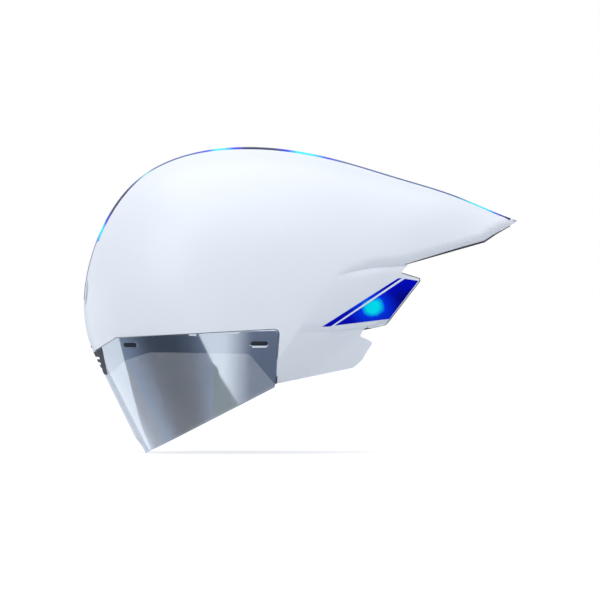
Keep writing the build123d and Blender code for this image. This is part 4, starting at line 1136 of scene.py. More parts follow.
def bead_foam():
    """Moulded bead foam: closed cells with darker seams between them."""
    tree, shader, place = blank_material("bead_foam")
    drift = scaled(tree, noise(tree, place, 120.0, 2.0, "Color"), 0.0012)
    spot = vector_calc(tree, "ADD", place, drift)
    cells = add_node(tree, "ShaderNodeTexVoronoi", {"Vector": spot, "Scale": 330.0}, feature="DISTANCE_TO_EDGE")
    shades = add_node(tree, "ShaderNodeTexVoronoi", {"Vector": spot, "Scale": 330.0})
    domes = moved(tree, cells.outputs["Distance"], 0.0, 1.0, 0.0, 0.16, interpolation_type="SMOOTHSTEP")
    colour = scaled(tree, colours_now().foam[:3], moved(tree, shades.outputs["Color"], 0.7, 1.5))
    worn = placed(tree, handling_marks, Vector=place, Colour=scaled(tree, colour, domes),
                  Mark_Colour=(0.09, 0.09, 0.095, 1), Amount=0.25)
    feed(tree, shader, Base_Color=worn["Colour"], Roughness=moved(tree, domes, 0.9, 0.62))
    bump(tree, shader, domes, 0.6, 0.18 * MM)


def woven(name, colour, thread, turn, depth, sheen):
    """Cloth whose threads run along a direction in plan and along the height."""
    tree, shader, place = blank_material(name, Sheen_Weight=sheen, Sheen_Roughness=0.45)
    turned = add_node(tree, "ShaderNodeMapping", {"Vector": place, "Rotation": (0, 0, turn)})
    parts = add_node(tree, "ShaderNodeSeparateXYZ", {"Vector": turned.outputs[0]}).outputs
    # The cloth's colour carries the weave's painted shade between the threads and painted highlight on their tops.
    cloth = placed(tree, plain_weave, Along=parts["X"], Across=parts["Z"], Thread=thread, Colour=colour)
    wear(tree, shader, place, cloth["Colour"], {"Mark_Colour": (0.07, 0.07, 0.075, 1), "Amount": 0.2, "Scale": 60.0},
         Scale=2600.0, Roughness=0.85)
    bump(tree, shader, cloth["Height"], 0.8, depth)


def strap_webbing():
    """Woven webbing of the chin straps."""
    woven("strap_webbing", colours_now().webbing, 0.9 * MM, 0.35, 0.16 * MM, 0.25)


def hook_tape():
    """Hook tape behind the pads."""
    woven("hook_tape", (0.026, 0.026, 0.028, 1), 0.55 * MM, 0.0, 0.12 * MM, 0.1)


def pad_knit():
    """Brushed knit of the comfort pads, with its threads on the pad's own map."""
    tree, shader, place = blank_material("pad_knit", Sheen_Weight=0.45, Sheen_Roughness=0.5)
    spot = add_node(tree, "ShaderNodeUVMap", uv_map=PAD_MAP)
    parts = add_node(tree, "ShaderNodeSeparateXYZ", {"Vector": spot.outputs[0]}).outputs
    # The weave's colour carries painted shade between the threads and a painted highlight, 1.7 times brighter, on
    # their tops.
    cloth = placed(tree, plain_weave, Along=parts["X"], Across=parts["Y"], Thread=0.8 * MM,
                   Colour=colours_now().fabric, Lift=1.7)
    fuzz = wear(tree, shader, place, cloth["Colour"],
                {"Mark_Colour": (0.060, 0.064, 0.075, 1), "Amount": 0.35, "Scale": 45.0},
                Scale=1800.0, Roughness=0.9)
    bump(tree, shader, calc(tree, "ADD", cloth["Height"], fuzz), 0.7, 0.14 * MM)


def stitch_thread():
    """Thick sewing thread with its twist."""
    tree, shader, place = blank_material("stitch_thread", Sheen_Weight=0.3)
    twist = add_node(tree, "ShaderNodeTexWave", {"Vector": place, "Scale": 900.0, "Distortion": 1.5},
                     bands_direction="DIAGONAL").outputs["Fac"]
    rough = placed(tree, moulded_grain, Vector=place, Scale=3000.0, Roughness=0.7)
    feed(tree, shader, Base_Color=moved(tree, twist, 0.035, 0.085), Roughness=rough["Roughness"])
    bump(tree, shader, twist, 0.6, 0.06 * MM)


def smoke_mirror():
    """Smoke visor with a mirror coat that lets a little through."""
    tree, shader, place = blank_material("smoke_mirror", metallic=1.0)
    behind = add_node(tree, "ShaderNodeNewGeometry").outputs["Backfacing"]
    feed(tree, shader, Alpha=moved(tree, behind, sizes_now().mirror_cover, 0.15))
    wear(tree, shader, place, colours_now().smoke,
         {"Mark_Colour": (0.50, 0.52, 0.56, 1), "Amount": 0.12, "Scale": 14.0},
         Scale=500.0, Roughness=0.055, Spread=0.02)


def smoke_inside():
    """Uncoated inner face of the visor, which lets most of the light through."""
    tree, shader, place = blank_material("smoke_inside", Alpha=0.25)
    wear(tree, shader, place, (0.035, 0.038, 0.045, 1),
         {"Mark_Colour": (0.09, 0.095, 0.10, 1), "Amount": 0.2, "Scale": 14.0},
         Scale=500.0, Roughness=0.06, Spread=0.02)


def film_shader(name):
    """A metallic-looking printed film under gloss, still without its colour."""
    tree, shader, place = blank_material(name, Specular_IOR_Level=0.03)
    grain = placed(tree, moulded_grain, Vector=place, Scale=1600.0, Roughness=0.34)
    feed(tree, shader, Roughness=grain["Roughness"])
    bump(tree, shader, grain["Height"], 0.2, 0.01 * MM)
    return tree, shader, place


def crest_film():
    """Blue film over the crest, in bands from slate and navy to cyan along the helmet's length."""
    tree, shader, place = film_shader("crest_film")
    along = add_node(tree, "ShaderNodeSeparateXYZ", {"Vector": place}).outputs["X"]
    front = side(0, 0)[0]
    share = moved(tree, along, 0.0, 1.0, front, front + sizes_now().length)
    colours = colours_now()
    feed(tree, shader, Base_Color=fill_ramp(
        tree, share, [(max(spot, 0), getattr(colours, label)) for spot, label in STRIPE_COLOURS]))


def fin_film():
    """Deep blue film of the fins with a painted cyan highlight, a hot spot where the film catches the light, and a
    dark rear edge.
    """
    colours = colours_now()
    tree, shader, place = film_shader("fin_film")
    drift = noise(tree, place, 75.0, 3.0)
    layers = []
    for spot_shares, reach, stops in FIN_SPOTS:
        spot = side(*spot_shares)
        shifted = vector_calc(tree, "SUBTRACT", place, (spot[0], 0, spot[1]))
        flat = vector_calc(tree, "MULTIPLY", shifted, FIN_SPOT_STRETCH)
        distance = vector_calc(tree, "LENGTH", flat, output="Value")
        share = calc(tree, "DIVIDE", distance, reach * sizes_now().length)
        wobble = calc(tree, "MULTIPLY_ADD", drift, FIN_DRIFT, share)
        centred = calc(tree, "SUBTRACT", wobble, FIN_DRIFT / 2, clamp=True)
        layers.append((centred, fill_ramp(tree, centred, [(at, getattr(colours, label)) for at, label in stops])))
    # The cyan spot is a painted highlight, a hot spot where the film catches the light; the second spot darkens the
    # rear.
    (_, painted_highlight), (near, dark) = layers
    feed(tree, shader, Base_Color=blended(tree, moved(tree, near, 0.75, 0.0), painted_highlight, dark))


FINISHES = {maker.__name__: maker for maker in (
    plated_steel, bead_foam, pad_knit, strap_webbing, hook_tape, stitch_thread, smoke_mirror, smoke_inside,
    crest_film, fin_film)}


def finish_of(name):
    """The material of that name, made when it is first asked for."""
    if name not in bpy.data.materials:
        if name in MOULDED:
            moulded(name, *MOULDED[name][:4], **MOULDED[name][4])
        else:
            FINISHES[name]()
    return bpy.data.materials[name]


# Head form and pads

def head_arcs(grow):
    """Middle and radius of the arc at the head's ends and of the arc at its sides."""
    sizes = sizes_now()
    end_middle = sizes.head_length / 2 - sizes.head_end_radius
    half = sizes.head_breadth / 2
    side_radius = (end_middle ** 2 + half ** 2 - sizes.head_end_radius ** 2) / 2 / (half - sizes.head_end_radius)
    return end_middle, sizes.head_end_radius + grow, half - side_radius, side_radius + grow


def arc(radius, offset):
    """How far an arc stands out at an offset from its middle."""
    return np.sqrt(np.maximum(radius ** 2 - offset ** 2, 0))


def head_ahead(across, grow):
    """How far the head's grown surface stands from its cross axis, at places across it."""
    end_middle, end_radius, side_middle, side_radius = head_arcs(grow)
    turn = math.atan2(-side_middle, end_middle)
    wide = np.abs(across)
    return np.where(wide < end_radius * math.sin(turn), end_middle + arc(end_radius, wide),
                    arc(side_radius, wide - side_middle))


def head_across(ahead, grow):
    """How far out the head's grown surface stands, at distances from its cross axis."""
    end_middle, end_radius, side_middle, side_radius = head_arcs(grow)
    meeting = side_radius * end_middle / math.hypot(end_middle, side_middle)
    return np.where(ahead < meeting, side_middle + arc(side_radius, ahead), arc(end_radius, ahead - end_middle))


def on_brow(along, up, grow):
    """A place on the front of the head's form."""
    return np.stack([-arc(head_ahead(along, grow), up), along, up], axis=-1)


def on_crown(along, across, grow):
    """A place on the top of the head's form."""
    return np.stack([along, across, arc(head_ahead(across, grow), along)], axis=-1)


def on_temple(sign):
    """Places on one side of the head's form."""
    def place(along, up, grow):
        return np.stack([along, sign * head_across(np.hypot(along, up), grow), up], axis=-1)
    return place


def on_nape(along, up, grow):
    """A place on the flat pad of the cradle, with the given growth counted from its front."""
    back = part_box("nape_pad")[1][0] - sizes_now().pad_depth
    return np.stack([np.full_like(along, back) + grow, along, up], axis=-1)


def pad_surface(place, middle, size, corner, channels, base, depth):
    """The points of a crowned pad: a flat back, a rolled rim and a crowned front with pressed channels."""
    sizes = sizes_now()
    columns = max(int(size[0] / PAD_STEP), 16)
    rows = max(int(size[1] / PAD_STEP), 10)
    u, v = np.meshgrid(np.linspace(-1, 1, columns + 1), np.linspace(-1, 1, rows + 1))
    along = u * size[0] / 2
    up = v * size[1] / 2
    core = np.array([size[0] / 2 - corner, size[1] / 2 - corner])
    over = np.stack([np.abs(along) - core[0], np.abs(up) - core[1]], axis=-1)
    in_corner = (over > 0).all(axis=-1)
    reach = np.max(over, axis=-1)
    length = np.maximum(np.linalg.norm(over, axis=-1), 1e-9)
    along = np.where(in_corner, np.sign(u) * (core[0] + over[..., 0] / length * reach), along)
    up = np.where(in_corner, np.sign(v) * (core[1] + over[..., 1] / length * reach), up)
    to_rim = np.where(in_corner, corner - reach,
                      np.minimum(size[0] / 2 - np.abs(along), size[1] / 2 - np.abs(up)))
    roll = np.clip(to_rim / sizes.pad_roll, 0, 1)
    crown = 1 - PAD_CROWN_SHARE + PAD_CROWN_SHARE * np.cos(u * math.pi / 2) * np.cos(v * math.pi / 2)
    thick = sizes.pad_rim + (depth - sizes.pad_rim) * np.sqrt(1 - (1 - roll) ** 2) * crown
    for channel in channels:
        press = np.exp(-((along - channel * size[0] / 2) / sizes.pad_channel) ** 2)
        thick -= press * (thick - sizes.pad_rim) * CHANNEL_PRESS * np.clip(to_rim / (2 * sizes.pad_roll), 0, 1)
    front = place(along + middle[0], up + middle[1], base - thick)
    back = place(along + middle[0], up + middle[1], np.full_like(thick, base))
    return along, up, front, back


def around(grid):
    """What stands along the edge of a grid, in turn."""
    return [*grid[0], *grid[1:, -1], *grid[-1, :-1][::-1], *grid[1:-1, 0][::-1]]


def add_pad(bm, spots, *shape):
    """Adds one crowned pad to a bmesh and its threads' map to the spots, and gives back its front."""
    along, up, front, back = pad_surface(*shape)
    sheets = []
    for points in (front, back):
        sheets.append(add_grid(bm, points, turned=points is back))
        spots.update(zip(sheets[-1], zip(along.flat, up.flat)))
    rim = around(np.arange(along.size).reshape(along.shape))
    for first, second in zip(rim, rim[1:] + rim[:1]):
        bm.faces.new([sheets[1][first], sheets[1][second], sheets[0][second], sheets[0][first]])
    return front


def make_pad(name, parts, body, node):
    """A soft pad of one or more cushions that stands for a node, with its stitches beside it."""
    bm = bmesh.new()
    spots = {}
    seams = []
    for part in parts:
        front = add_pad(bm, spots, *part)
        seams.append(around(front[SEAM_INSET:-SEAM_INSET, SEAM_INSET:-SEAM_INSET]))
    layer = bm.loops.layers.uv.new(PAD_MAP)
    for face in bm.faces:
        for loop in face.loops:
            loop[layer].uv = spots[loop.vert]
    bmesh.ops.recalc_face_normals(bm, faces=bm.faces)
    pad = piece_from(bm, name)
    pad.data.set_sharp_from_angle(angle=math.radians(PAD_SHARP_DEG))
    smooth = pad.modifiers.new("Soft", "SUBSURF")
    smooth.levels = 1
    smooth.render_levels = 1
    dress(pad, body, "pad_fabric", "pad_knit", node)
    stitches(name + "_stitches", seams, body, "pad_fabric")


# Repeated pieces

def instance_tree(name, labels):
    """An empty geometry node tree with named float inputs."""
    tree = bpy.data.node_groups.new(name, "GeometryNodeTree")
    tree.is_modifier = True
    tree.interface.new_socket("Geometry", in_out="INPUT", socket_type="NodeSocketGeometry")
    for label in labels:
        tree.interface.new_socket(label, in_out="INPUT", socket_type="NodeSocketFloat")
    tree.interface.new_socket("Geometry", in_out="OUTPUT", socket_type="NodeSocketGeometry")
    return tree, add_node(tree, "NodeGroupInput").outputs


def end_tree(tree, points, radius, scale, material, **placing):
    """Ends a tree with stretched balls on its points, made real, smooth and given their material."""
    ball = add_node(tree, "GeometryNodeMeshUVSphere", {"Segments": 8, "Rings": 6, "Radius": radius})
    size = add_node(tree, "ShaderNodeCombineXYZ", dict(zip("XYZ", scale)))
    last = add_node(tree, "GeometryNodeInstanceOnPoints",
                    {"Points": points, "Instance": ball.outputs["Mesh"], "Scale": size.outputs[0], **placing})
    for kind, inputs in (("RealizeInstances", {}), ("SetShadeSmooth", {}),
                         ("SetMaterial", {"Material": finish_of(material)})):
        last = add_node(tree, "GeometryNode" + kind, {"Geometry": last.outputs[0], **inputs})
    add_node(tree, "NodeGroupOutput", {0: last.outputs[0]})
    return tree


def stitches_along_path(name):
    """Rounded stitches laid end to end along a closed path."""
    tree, given = instance_tree(name, ("Pitch", "Stitch Length", "Stitch Width"))
    curve = add_node(tree, "GeometryNodeMeshToCurve", {"Mesh": given["Geometry"]})
    places = add_node(tree, "GeometryNodeResampleCurve", {"Curve": curve.outputs[0], "Length": given["Pitch"]},
                      mode="LENGTH")
    tangent = add_node(tree, "GeometryNodeInputTangent")
    turn = add_node(tree, "FunctionNodeAlignEulerToVector", {"Vector": tangent.outputs[0]}, axis="Z")
    half_width = calc(tree, "MULTIPLY", given["Stitch Width"], 0.5)
    half_length = calc(tree, "MULTIPLY", given["Stitch Length"], 0.5)
    return end_tree(tree, places.outputs[0], 1.0, (half_width, half_width, half_length), "stitch_thread",
                    Rotation=turn.outputs[0])


def ribs_on_points(name):
    """Rounded ribs that stand on the points of a mesh, along the X axis."""
    tree, given = instance_tree(name, ("Rib Length", "Rib Width"))
    points = add_node(tree, "GeometryNodeMeshToPoints", {"Mesh": given["Geometry"]})
    return end_tree(tree, points.outputs[0], 0.5, (given["Rib Length"], given["Rib Width"], given["Rib Width"]),
                    "grip_rubber")


def run_tree(piece, maker, values):
    """Runs a geometry node tree on a piece and keeps the result as a plain mesh."""
    tree = built_once(maker)
    modifier = piece.modifiers.new("Nodes", "NODES")
    modifier.node_group = tree
    for item in tree.interface.items_tree:
        if item.in_out == "INPUT" and item.name in values:
            modifier[item.identifier] = values[item.name]
    keep_result(piece)


def stitches(name, seams, body, slot):
    """Stitches along closed seams, as one piece."""
    sizes = sizes_now()
    verts = []
    edges = []
    for seam in seams:
        first = len(verts)
        verts += [tuple(point) for point in seam]
        edges += [(first + i, first + (i + 1) % len(seam)) for i in range(len(seam))]
    piece = drawn(name, verts, edges)
    run_tree(piece, stitches_along_path, {"Pitch": sizes.stitch_pitch, "Stitch Length": sizes.stitch_length,
                                          "Stitch Width": sizes.stitch_width})
    assign(piece, body, slot)


# Operators

class HELMET_OT_studio(Operator):
    """Set up the camera, the floor, the lights and the grey cards"""
    bl_idname = "helmet.studio"
    bl_label = "Studio"

    def execute(self, context):
        studio = context.scene.helmet_studio
        context.scene.view_settings.view_transform = "Standard"
        make_camera(studio)
        make_floor(studio)
        make_room(studio)
        make_lamps(studio)
        make_cards(studio)
        return {"FINISHED"}


def make_camera(studio):
    """A long lens that looks at the wearer's left side."""
    data = bpy.data.cameras.new("side_camera")
    data.sensor_width = 36.0
    data.lens = data.sensor_width * studio.camera_distance / studio.view_width
    data.clip_end = 60.0
    camera = linked("side_camera", data)
    camera.location = (studio.aim_ahead, -studio.camera_distance, studio.aim_level)
    camera.rotation_euler = (math.pi / 2, 0, 0)
    bpy.context.scene.camera = camera


def ray_kinds(tree):
    """The kinds of a ray, and whether it comes from the camera, straight or through something clear."""
    rays = add_node(tree, "ShaderNodeLightPath").outputs
    return rays, calc(tree, "MAXIMUM", rays["Is Camera Ray"], rays["Is Transmission Ray"])


def make_floor(studio):
    """A pale floor at the helmet's lowest point that keeps its shadow and shows white."""
    half = studio.floor_size / 2
    level = CAD_BOX[0][2] - FLOOR_GAP
    corners = [(-half, -half, level), (half, -half, level), (half, half, level), (-half, half, level)]
    floor = drawn("studio_floor", corners, faces=[(0, 1, 2, 3)])
    floor.visible_glossy = False
    material = bpy.data.materials.new("studio_floor")
    tree = empty_tree(material)
    seen = ray_kinds(tree)[1]
    paint = add_node(tree, "ShaderNodeBsdfDiffuse", {"Color": FLOOR_COLOUR})
    light = add_node(tree, "ShaderNodeEmission", {"Color": WHITE,
                                                  "Strength": calc(tree, "MULTIPLY", seen, studio.floor_glow)})
    both = add_node(tree, "ShaderNodeAddShader", {0: paint.outputs[0], 1: light.outputs[0]})
    add_node(tree, "ShaderNodeOutputMaterial", {"Surface": both.outputs[0]})
    floor.data.materials.append(material)


def background(tree, colour, strength=1.0):
    """Light of one colour or of a pattern from the room."""
    return add_node(tree, "ShaderNodeBackground", {"Color": colour, "Strength": strength}).outputs[0]


def chosen(tree, factor, first, second):
    """One of two shaders, by a factor."""
    return add_node(tree, "ShaderNodeMixShader", {0: factor, 1: first, 2: second}).outputs[0]


def make_room(studio):
    """An even room light, plain white where it is seen, and graded greys where gloss mirrors it."""
    world = bpy.data.worlds.new("studio_room")
    tree = empty_tree(world)
    rays, seen = ray_kinds(tree)
    generated = add_node(tree, "ShaderNodeTexCoord").outputs["Generated"]
    x, y, z = add_node(tree, "ShaderNodeSeparateXYZ", {"Vector": generated}).outputs
    turn = calc(tree, "ARCTAN2", calc(tree, "MULTIPLY", x, -1.0), calc(tree, "MULTIPLY", y, -1.0))
    stops = []
    for angle, tone in ROOM_TONES:
        hue = ROOM_DARK_HUE if tone < ROOM_DARK_BELOW else ROOM_PALE_HUE
        stops.append((angle / 360 + 0.5, (*(tone * part for part in hue), 1)))
    greys = fill_ramp(tree, moved(tree, turn, 0.0, 1.0, -math.pi, math.pi), stops)
    fade = [math.sin(math.radians(angle)) for angle in FIELD_FADE_DEG]
    past_start = calc(tree, "GREATER_THAN", turn, -math.radians(FIELD_START_DEG))
    before_end = calc(tree, "LESS_THAN", turn, -math.radians(FIELD_END_DEG))
    strip = calc(tree, "MULTIPLY", past_start, before_end)
    field = calc(tree, "MULTIPLY", moved(tree, z, 0.0, 1.0, *fade), strip)
    bright = (*(part * studio.card_strength for part in CARD_HUE), 1)
    lit = blended(tree, field, greys, bright)
    mirrored = blended(tree, moved(tree, z, 0.0, 1.0, 0.0, WHITE_ABOVE), lit, WHITE)
    soft = background(tree, SKY_COLOUR, studio.sky_strength)
    glossy = chosen(tree, rays["Is Glossy Ray"], soft, background(tree, mirrored))
    add_node(tree, "ShaderNodeOutputWorld", {"Surface": chosen(tree, seen, glossy, background(tree, WHITE))})
    bpy.context.scene.world = world


def make_lamps(studio):
    """Two soft boxes, one above and one on the camera's side."""
    for (name, place, size, colour), power in zip(LAMPS, (studio.top_power, studio.front_power)):
        data = bpy.data.lights.new(name, "AREA")
        data.energy = power
        data.size = size
        data.color = colour
        lamp = linked(name, data)
        lamp.location = place
        lamp.rotation_euler = (-Vector(place)).to_track_quat("-Z", "Y").to_euler()


def card_material(name, strength, colour):
    """A light that only gloss sees."""
    material = bpy.data.materials.new(name)
    tree = empty_tree(material)
    rays = add_node(tree, "ShaderNodeLightPath").outputs
    light = add_node(tree, "ShaderNodeEmission", {"Color": colour, "Strength": strength}).outputs[0]
    clear = add_node(tree, "ShaderNodeBsdfTransparent", {"Color": WHITE}).outputs[0]
    add_node(tree, "ShaderNodeOutputMaterial", {"Surface": chosen(tree, rays["Is Glossy Ray"], clear, light)})
    return material


def make_cards(studio):
    """Cards on each side and ahead that only gloss sees, with slanting lower edges."""
    bright = card_material("bright_card", studio.card_strength, (*CARD_HUE, 1))
    grey = card_material("grey_card", studio.grey_strength, GREY_CARD_COLOUR)
    far = studio.card_distance / MM
    cards = [("front_card", bright, [(-far, y, z) for y, z in FRONT_CARD_CORNERS])]
    for label, sign in (("left", -1), ("right", 1)):
        cards.append((label + "_card", bright, [(x, sign * far, z) for x, z in CARD_CORNERS]))
        cards.append((label + "_grey_card", grey, [(x, sign * far / 2, z) for x, z in GREY_CARD_CORNERS]))
    for name, material, corners in cards:
        card = drawn(name, [Vector(corner) * MM for corner in corners], faces=[tuple(range(len(corners)))])
        card.data.materials.append(material)
        for rays in ("camera", "diffuse", "transmission", "shadow"):
            setattr(card, "visible_" + rays, False)


class HELMET_OT_shell(Operator):
    """Make the painted shell with its creases, intakes and rounded hem"""
    bl_idname = "helmet.shell"
    bl_label = "Shell"

    def execute(self, context):
        sizes = context.scene.helmet_sizes
        bm = shell_sheet()
        face_outwards(bm)
        outside = bpy.data.meshes.new("shell_outside")
        bm.to_mesh(outside)
        shell = piece_from(bm, "shell_skin")
        thicken(shell, sizes.shell_wall, sizes.hem_round)
        carve(shell, intake_cutter())
        dress(shell, "helmet", "white_shell", "shell_paint", "outer_shell")
        hem = rounded(outline(SHELL_HEM_SHARES), sizes.corner_round)
        hidden = lens_edge(LEDGE_REACH)
        brow = grown(outline(LEDGE_FRONT_SHARES), -sizes.vent_gap)
        ledge = piece_from(lens_sheet(sizes.lens_wall + sizes.lens_gap,
                                      lambda places: (inside(places, hem) & inside(places, hidden)
                                                      & ~inside(places, brow)),
                                      (hem, hidden, brow)), "visor_ledge")
        thicken(ledge, sizes.shell_wall, sizes.trim_round)
        dress(ledge, "helmet", "black_trim", "ledge_black")
        return {"FINISHED"}


class HELMET_OT_films(Operator):
    """Lay the blue films on the crest and on the fins"""
    bl_idname = "helmet.films"
    bl_label = "Films"

    def execute(self, context):
        sizes = context.scene.helmet_sizes
        dress(make_crest_film(), "helmet", "white_shell", "crest_film")
        for name, shares in (("upper_fin_film", UPPER_PANEL_SHARES), ("lower_fin_film", LOWER_PANEL_SHARES)):
            panel = rounded(outline(shares), sizes.corner_round / 3)
            piece = piece_from(shell_patch(panel), name)
            thicken(piece, sizes.film_wall, sizes.film_lift / 2)
            dress(piece, "helmet", "white_shell", "fin_film")
        return {"FINISHED"}


def make_crest_film():
    """The film over the crest, as wide as it shows from the side."""
    sizes = sizes_now()
    hoops = hoop_frames()[1]
    knots = hoop_knots()
    start = np.interp(STRIPE_END_SHARES[0], [HOOP_SHARES[1][1], HOOP_SHARES[2][1]], knots[1:3])
    end = np.interp(STRIPE_END_SHARES[1], [HOOP_SHARES[7][0], HOOP_SHARES[8][0]], knots[7:9])
    places = np.linspace(start, end, STRIPE_ROWS + 1)
    weights = spline_weights(knots, places)
    crest = weights @ outline([shares[:2] for shares in HOOP_SHARES])
    crest_share = crest[:, 0] / sizes.length + SEAT_SHARE[0]
    shares = np.array(STRIPE_SHARES)
    show = np.interp(crest_share, shares[:, 0], shares[:, 1]) * sizes.length
    table = np.linspace(0, 0.9, CREST_SAMPLES)
    rises = [crown_curve(hoop, table)[1] for hoop in hoops]
    grid = []
    for row in range(STRIPE_ROWS + 1):
        up = sum(weight * hoop[1] for weight, hoop in zip(weights[row], hoops))
        drop = up - sum(weight * rise for weight, rise in zip(weights[row], rises))
        edge = np.interp(show[row], drop, table)
        turns = np.linspace(-edge, edge, 2 * STRIPE_COLUMNS + 1)
        curves = []
        for hoop in hoops:
            across, rise = crown_curve(hoop, np.abs(turns))
            curves.append((np.sign(turns) * across, rise))
        grid.append(np.einsum("i,ick->ck", weights[row], hoop_points(curves)))
    bm = grid_mesh(np.array(grid))
    face_outwards(bm)
    lift(bm)
    return thicken(piece_from(bm, "crest_stripe"), sizes.film_wall, sizes.film_lift / 2)


def lift(bm):
    """Lifts a film off the shell."""
    for vert in bm.verts:
        vert.co += vert.normal * sizes_now().film_lift


def shell_patch(polygon):
    """The part of the shell's surface inside an outline in the side view, on both sides, lifted as a film."""
    bm = bmesh.new()
    bm.from_mesh(bpy.data.objects["shell_skin"].data)
    low = polygon.min(axis=0) - FILM_MARGIN
    high = polygon.max(axis=0) + FILM_MARGIN
    bm.normal_update()
    places = face_places(bm)
    near = ((places > low) & (places < high)).all(axis=1)
    outer = np.array([face.normal.y * face.calc_center_median().y > 0 for face in bm.faces])
    keep_faces(bm, near & outer)
    cut_along(bm, closed(polygon), FILM_CUT_REACH)
    keep_faces(bm, inside(face_places(bm), polygon))
    bm.normal_update()
    lift(bm)
    return bm


class HELMET_OT_visor(Operator):
    """Make the mirrored smoke visor and its magnet pills"""
    bl_idname = "helmet.visor"
    bl_label = "Visor"

    def execute(self, context):
        sizes = context.scene.helmet_sizes
        edge = lens_edge(0)
        brow = grown(outline(BROW_SHARES), sizes.vent_gap)
        bm = lens_sheet(0, lambda places: inside(places, edge) & ~inside(places, brow), (edge, brow))
        lens = piece_from(bm, "visor_shield")
        for material in ("smoke_mirror", "smoke_inside", "smoke_edge"):
            lens.data.materials.append(finish_of(material))
        wall(lens, sizes.lens_wall).material_offset = 1
        carve(lens, lens_cutter())
        bevel(lens, sizes.lens_round).material = 2
        settle(lens)
        assign(lens, "visor", "smoke_lens", "visor_lens")
        for node, body in (("visor_magnets", "visor"), ("shell_magnets", "helmet")):
            pill = hard_copy(node, node + "_caps", sizes.trim_round)
            dress(pill, body, "magnet_pill", "gloss_black", node)
        return {"FINISHED"}


class HELMET_OT_trim(Operator):
    """Finish the vents, the grilles and the black panels of tail and fins"""
    bl_idname = "helmet.trim"
    bl_label = "Trim"

    def execute(self, context):
        sizes = context.scene.helmet_sizes
        for node in ("brow_vent", "intake_grilles", "tail_underpanel", "left_fin_backing", "right_fin_backing"):
            piece = hard_copy(node, node + "_moulding", sizes.trim_round)
            if node.endswith("fin_backing") or node == "brow_vent":
                settle(piece)
                clear_skin(piece, all_over=node == "brow_vent")
            dress(piece, "helmet", "black_trim", "black_trim", node)
        return {"FINISHED"}


class HELMET_OT_liner(Operator):
    """Finish the bead foam liner and what is moulded into it"""
    bl_idname = "helmet.liner"
    bl_label = "Liner"

    def execute(self, context):
        sizes = context.scene.helmet_sizes
        liner = hard_copy("foam_liner", "foam_liner_beads")
        clear_skin(liner)
        dress(liner, "helmet", "foam", "bead_foam", "foam_liner")
        for node in ("temple_sockets", "hanger_bracket"):
            piece = hard_copy(node, node + "_moulding", sizes.trim_round)
            dress(piece, "helmet", "cradle_plastic", "cradle_nylon", node)
        hooks = hard_copy("pad_hooks", "pad_hook_tabs")
        dress(hooks, "helmet", "hook_tape", "hook_tape", "pad_hooks")
        return {"FINISHED"}


class HELMET_OT_pads(Operator):
    """Make the crowned comfort pads with their stitched rims"""
    bl_idname = "helmet.pads"
    bl_label = "Pads"

    def execute(self, context):
        sizes = context.scene.helmet_sizes
        seat = sizes.pad_depth - PAD_BACK_GAP
        depth = seat - PAD_HEAD_GAP
        for node, name, cushions in pad_plan():
            make_pad(name, [(place, middle, size, PAD_CORNER, channels, seat, depth)
                            for place, middle, size, channels in cushions], "helmet", node)
        middle, size, far = box_of("nape_pad")
        nape = (on_nape, middle[1:], size[1:], NAPE_CORNER, (-0.35, 0.35), sizes.pad_depth, size[0])
        make_pad("nape_cushion", [nape], "cradle", "nape_pad")
        return {"FINISHED"}


def box_of(node):
    """Middle, size and far corner of a node's box."""
    low, high = (np.array(corner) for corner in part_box(node))
    return (low + high) / 2, high - low, high


def pad_plan():
    """Which pads there are: node, name, and each cushion's form, middle, size and channels."""
    brow, brow_size, _ = box_of("brow_pad")
    crown, crown_size, crown_far = box_of("crown_pads")
    temple, temple_size, _ = box_of("temple_pads")
    crown_out = crown_far[1] - CROWN_PAD_WIDTH / 2
    return [
        ("brow_pad", "brow_cushion", [(on_brow, (0, brow[2]), brow_size[1:], (-0.55, -0.18, 0.18, 0.55))]),
        ("crown_pads", "crown_cushions", [
            (on_crown, (crown[0], sign * crown_out), (crown_size[0], CROWN_PAD_WIDTH), (-0.4, 0, 0.4))
            for sign in (-1, 1)]),
        ("temple_pads", "temple_cushions", [
            (on_temple(sign), temple[::2], temple_size[::2], (-0.3, 0.3)) for sign in (-1, 1)]),
    ]


class HELMET_OT_cradle(Operator):
    """Finish the retention cradle, its bands and its dial"""
    bl_idname = "helmet.cradle"
    bl_label = "Cradle"

    def execute(self, context):
        finish_parts(CRADLE_PARTS)
        make_grip()
        return {"FINISHED"}


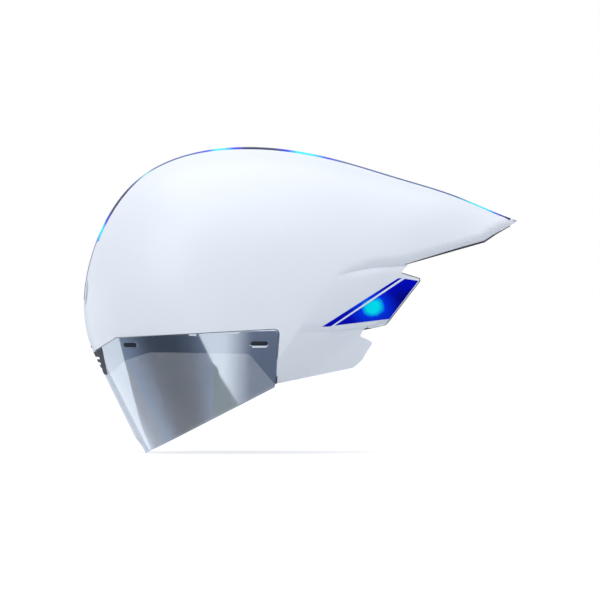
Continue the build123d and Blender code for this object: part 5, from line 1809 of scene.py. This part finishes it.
def make_grip():
    """Small ribs round the rim of the dial."""
    count = sizes_now().grip_ribs
    middle, size, far = box_of("dial_knob")
    radius = size[2] / 2 * GRIP_RADIUS_SHARE
    verts = []
    for index in range(count):
        turn = 2 * math.pi * index / count
        verts.append((far[0], middle[1] + radius * math.cos(turn), middle[2] + radius * math.sin(turn)))
    ribs = drawn("dial_grip_ribs", verts)
    run_tree(ribs, ribs_on_points, {"Rib Length": RIB_LENGTH, "Rib Width": RIB_WIDTH})
    assign(ribs, "dial", "dial_rubber")


class HELMET_OT_straps(Operator):
    """Finish the stowed chin straps with their anchors, dividers, levers and buckle"""
    bl_idname = "helmet.straps"
    bl_label = "Straps"

    def execute(self, context):
        finish_parts(STRAP_PARTS)
        return {"FINISHED"}


class HELMET_PT_panel(Panel):
    """Lists what makes the helmet"""
    bl_idname = "HELMET_PT_panel"
    bl_label = "Helmet"
    bl_space_type = "VIEW_3D"
    bl_region_type = "UI"
    bl_category = "Helmet"

    def draw(self, context):
        for operator in OPERATORS:
            self.layout.operator(operator.bl_idname)
        for group in (context.scene.helmet_sizes, context.scene.helmet_colours, context.scene.helmet_studio):
            box = self.layout.box()
            for name in group.bl_rna.properties.keys():
                if name not in ("rna_type", "name"):
                    box.prop(group, name)


OPERATORS = (
    HELMET_OT_studio, HELMET_OT_shell, HELMET_OT_films, HELMET_OT_visor, HELMET_OT_trim, HELMET_OT_liner,
    HELMET_OT_pads, HELMET_OT_cradle, HELMET_OT_straps,
)
CLASSES = (HelmetSizes, HelmetColours, HelmetStudio, *OPERATORS, HELMET_PT_panel)


def register():
    """Registers the classes and the scene's settings."""
    for item in CLASSES:
        bpy.utils.register_class(item)
    bpy.types.Scene.helmet_sizes = PointerProperty(type=HelmetSizes)
    bpy.types.Scene.helmet_colours = PointerProperty(type=HelmetColours)
    bpy.types.Scene.helmet_studio = PointerProperty(type=HelmetStudio)


def unregister():
    """Removes the scene's settings and the classes."""
    del bpy.types.Scene.helmet_studio
    del bpy.types.Scene.helmet_colours
    del bpy.types.Scene.helmet_sizes
    for item in reversed(CLASSES):
        bpy.utils.unregister_class(item)


def main():
    """Makes the whole scene."""
    register()
    bpy.ops.helmet.studio()
    bpy.ops.helmet.shell()
    bpy.ops.helmet.films()
    bpy.ops.helmet.visor()
    bpy.ops.helmet.trim()
    bpy.ops.helmet.liner()
    bpy.ops.helmet.pads()
    bpy.ops.helmet.cradle()
    bpy.ops.helmet.straps()


if __name__ == "__main__":
    main()
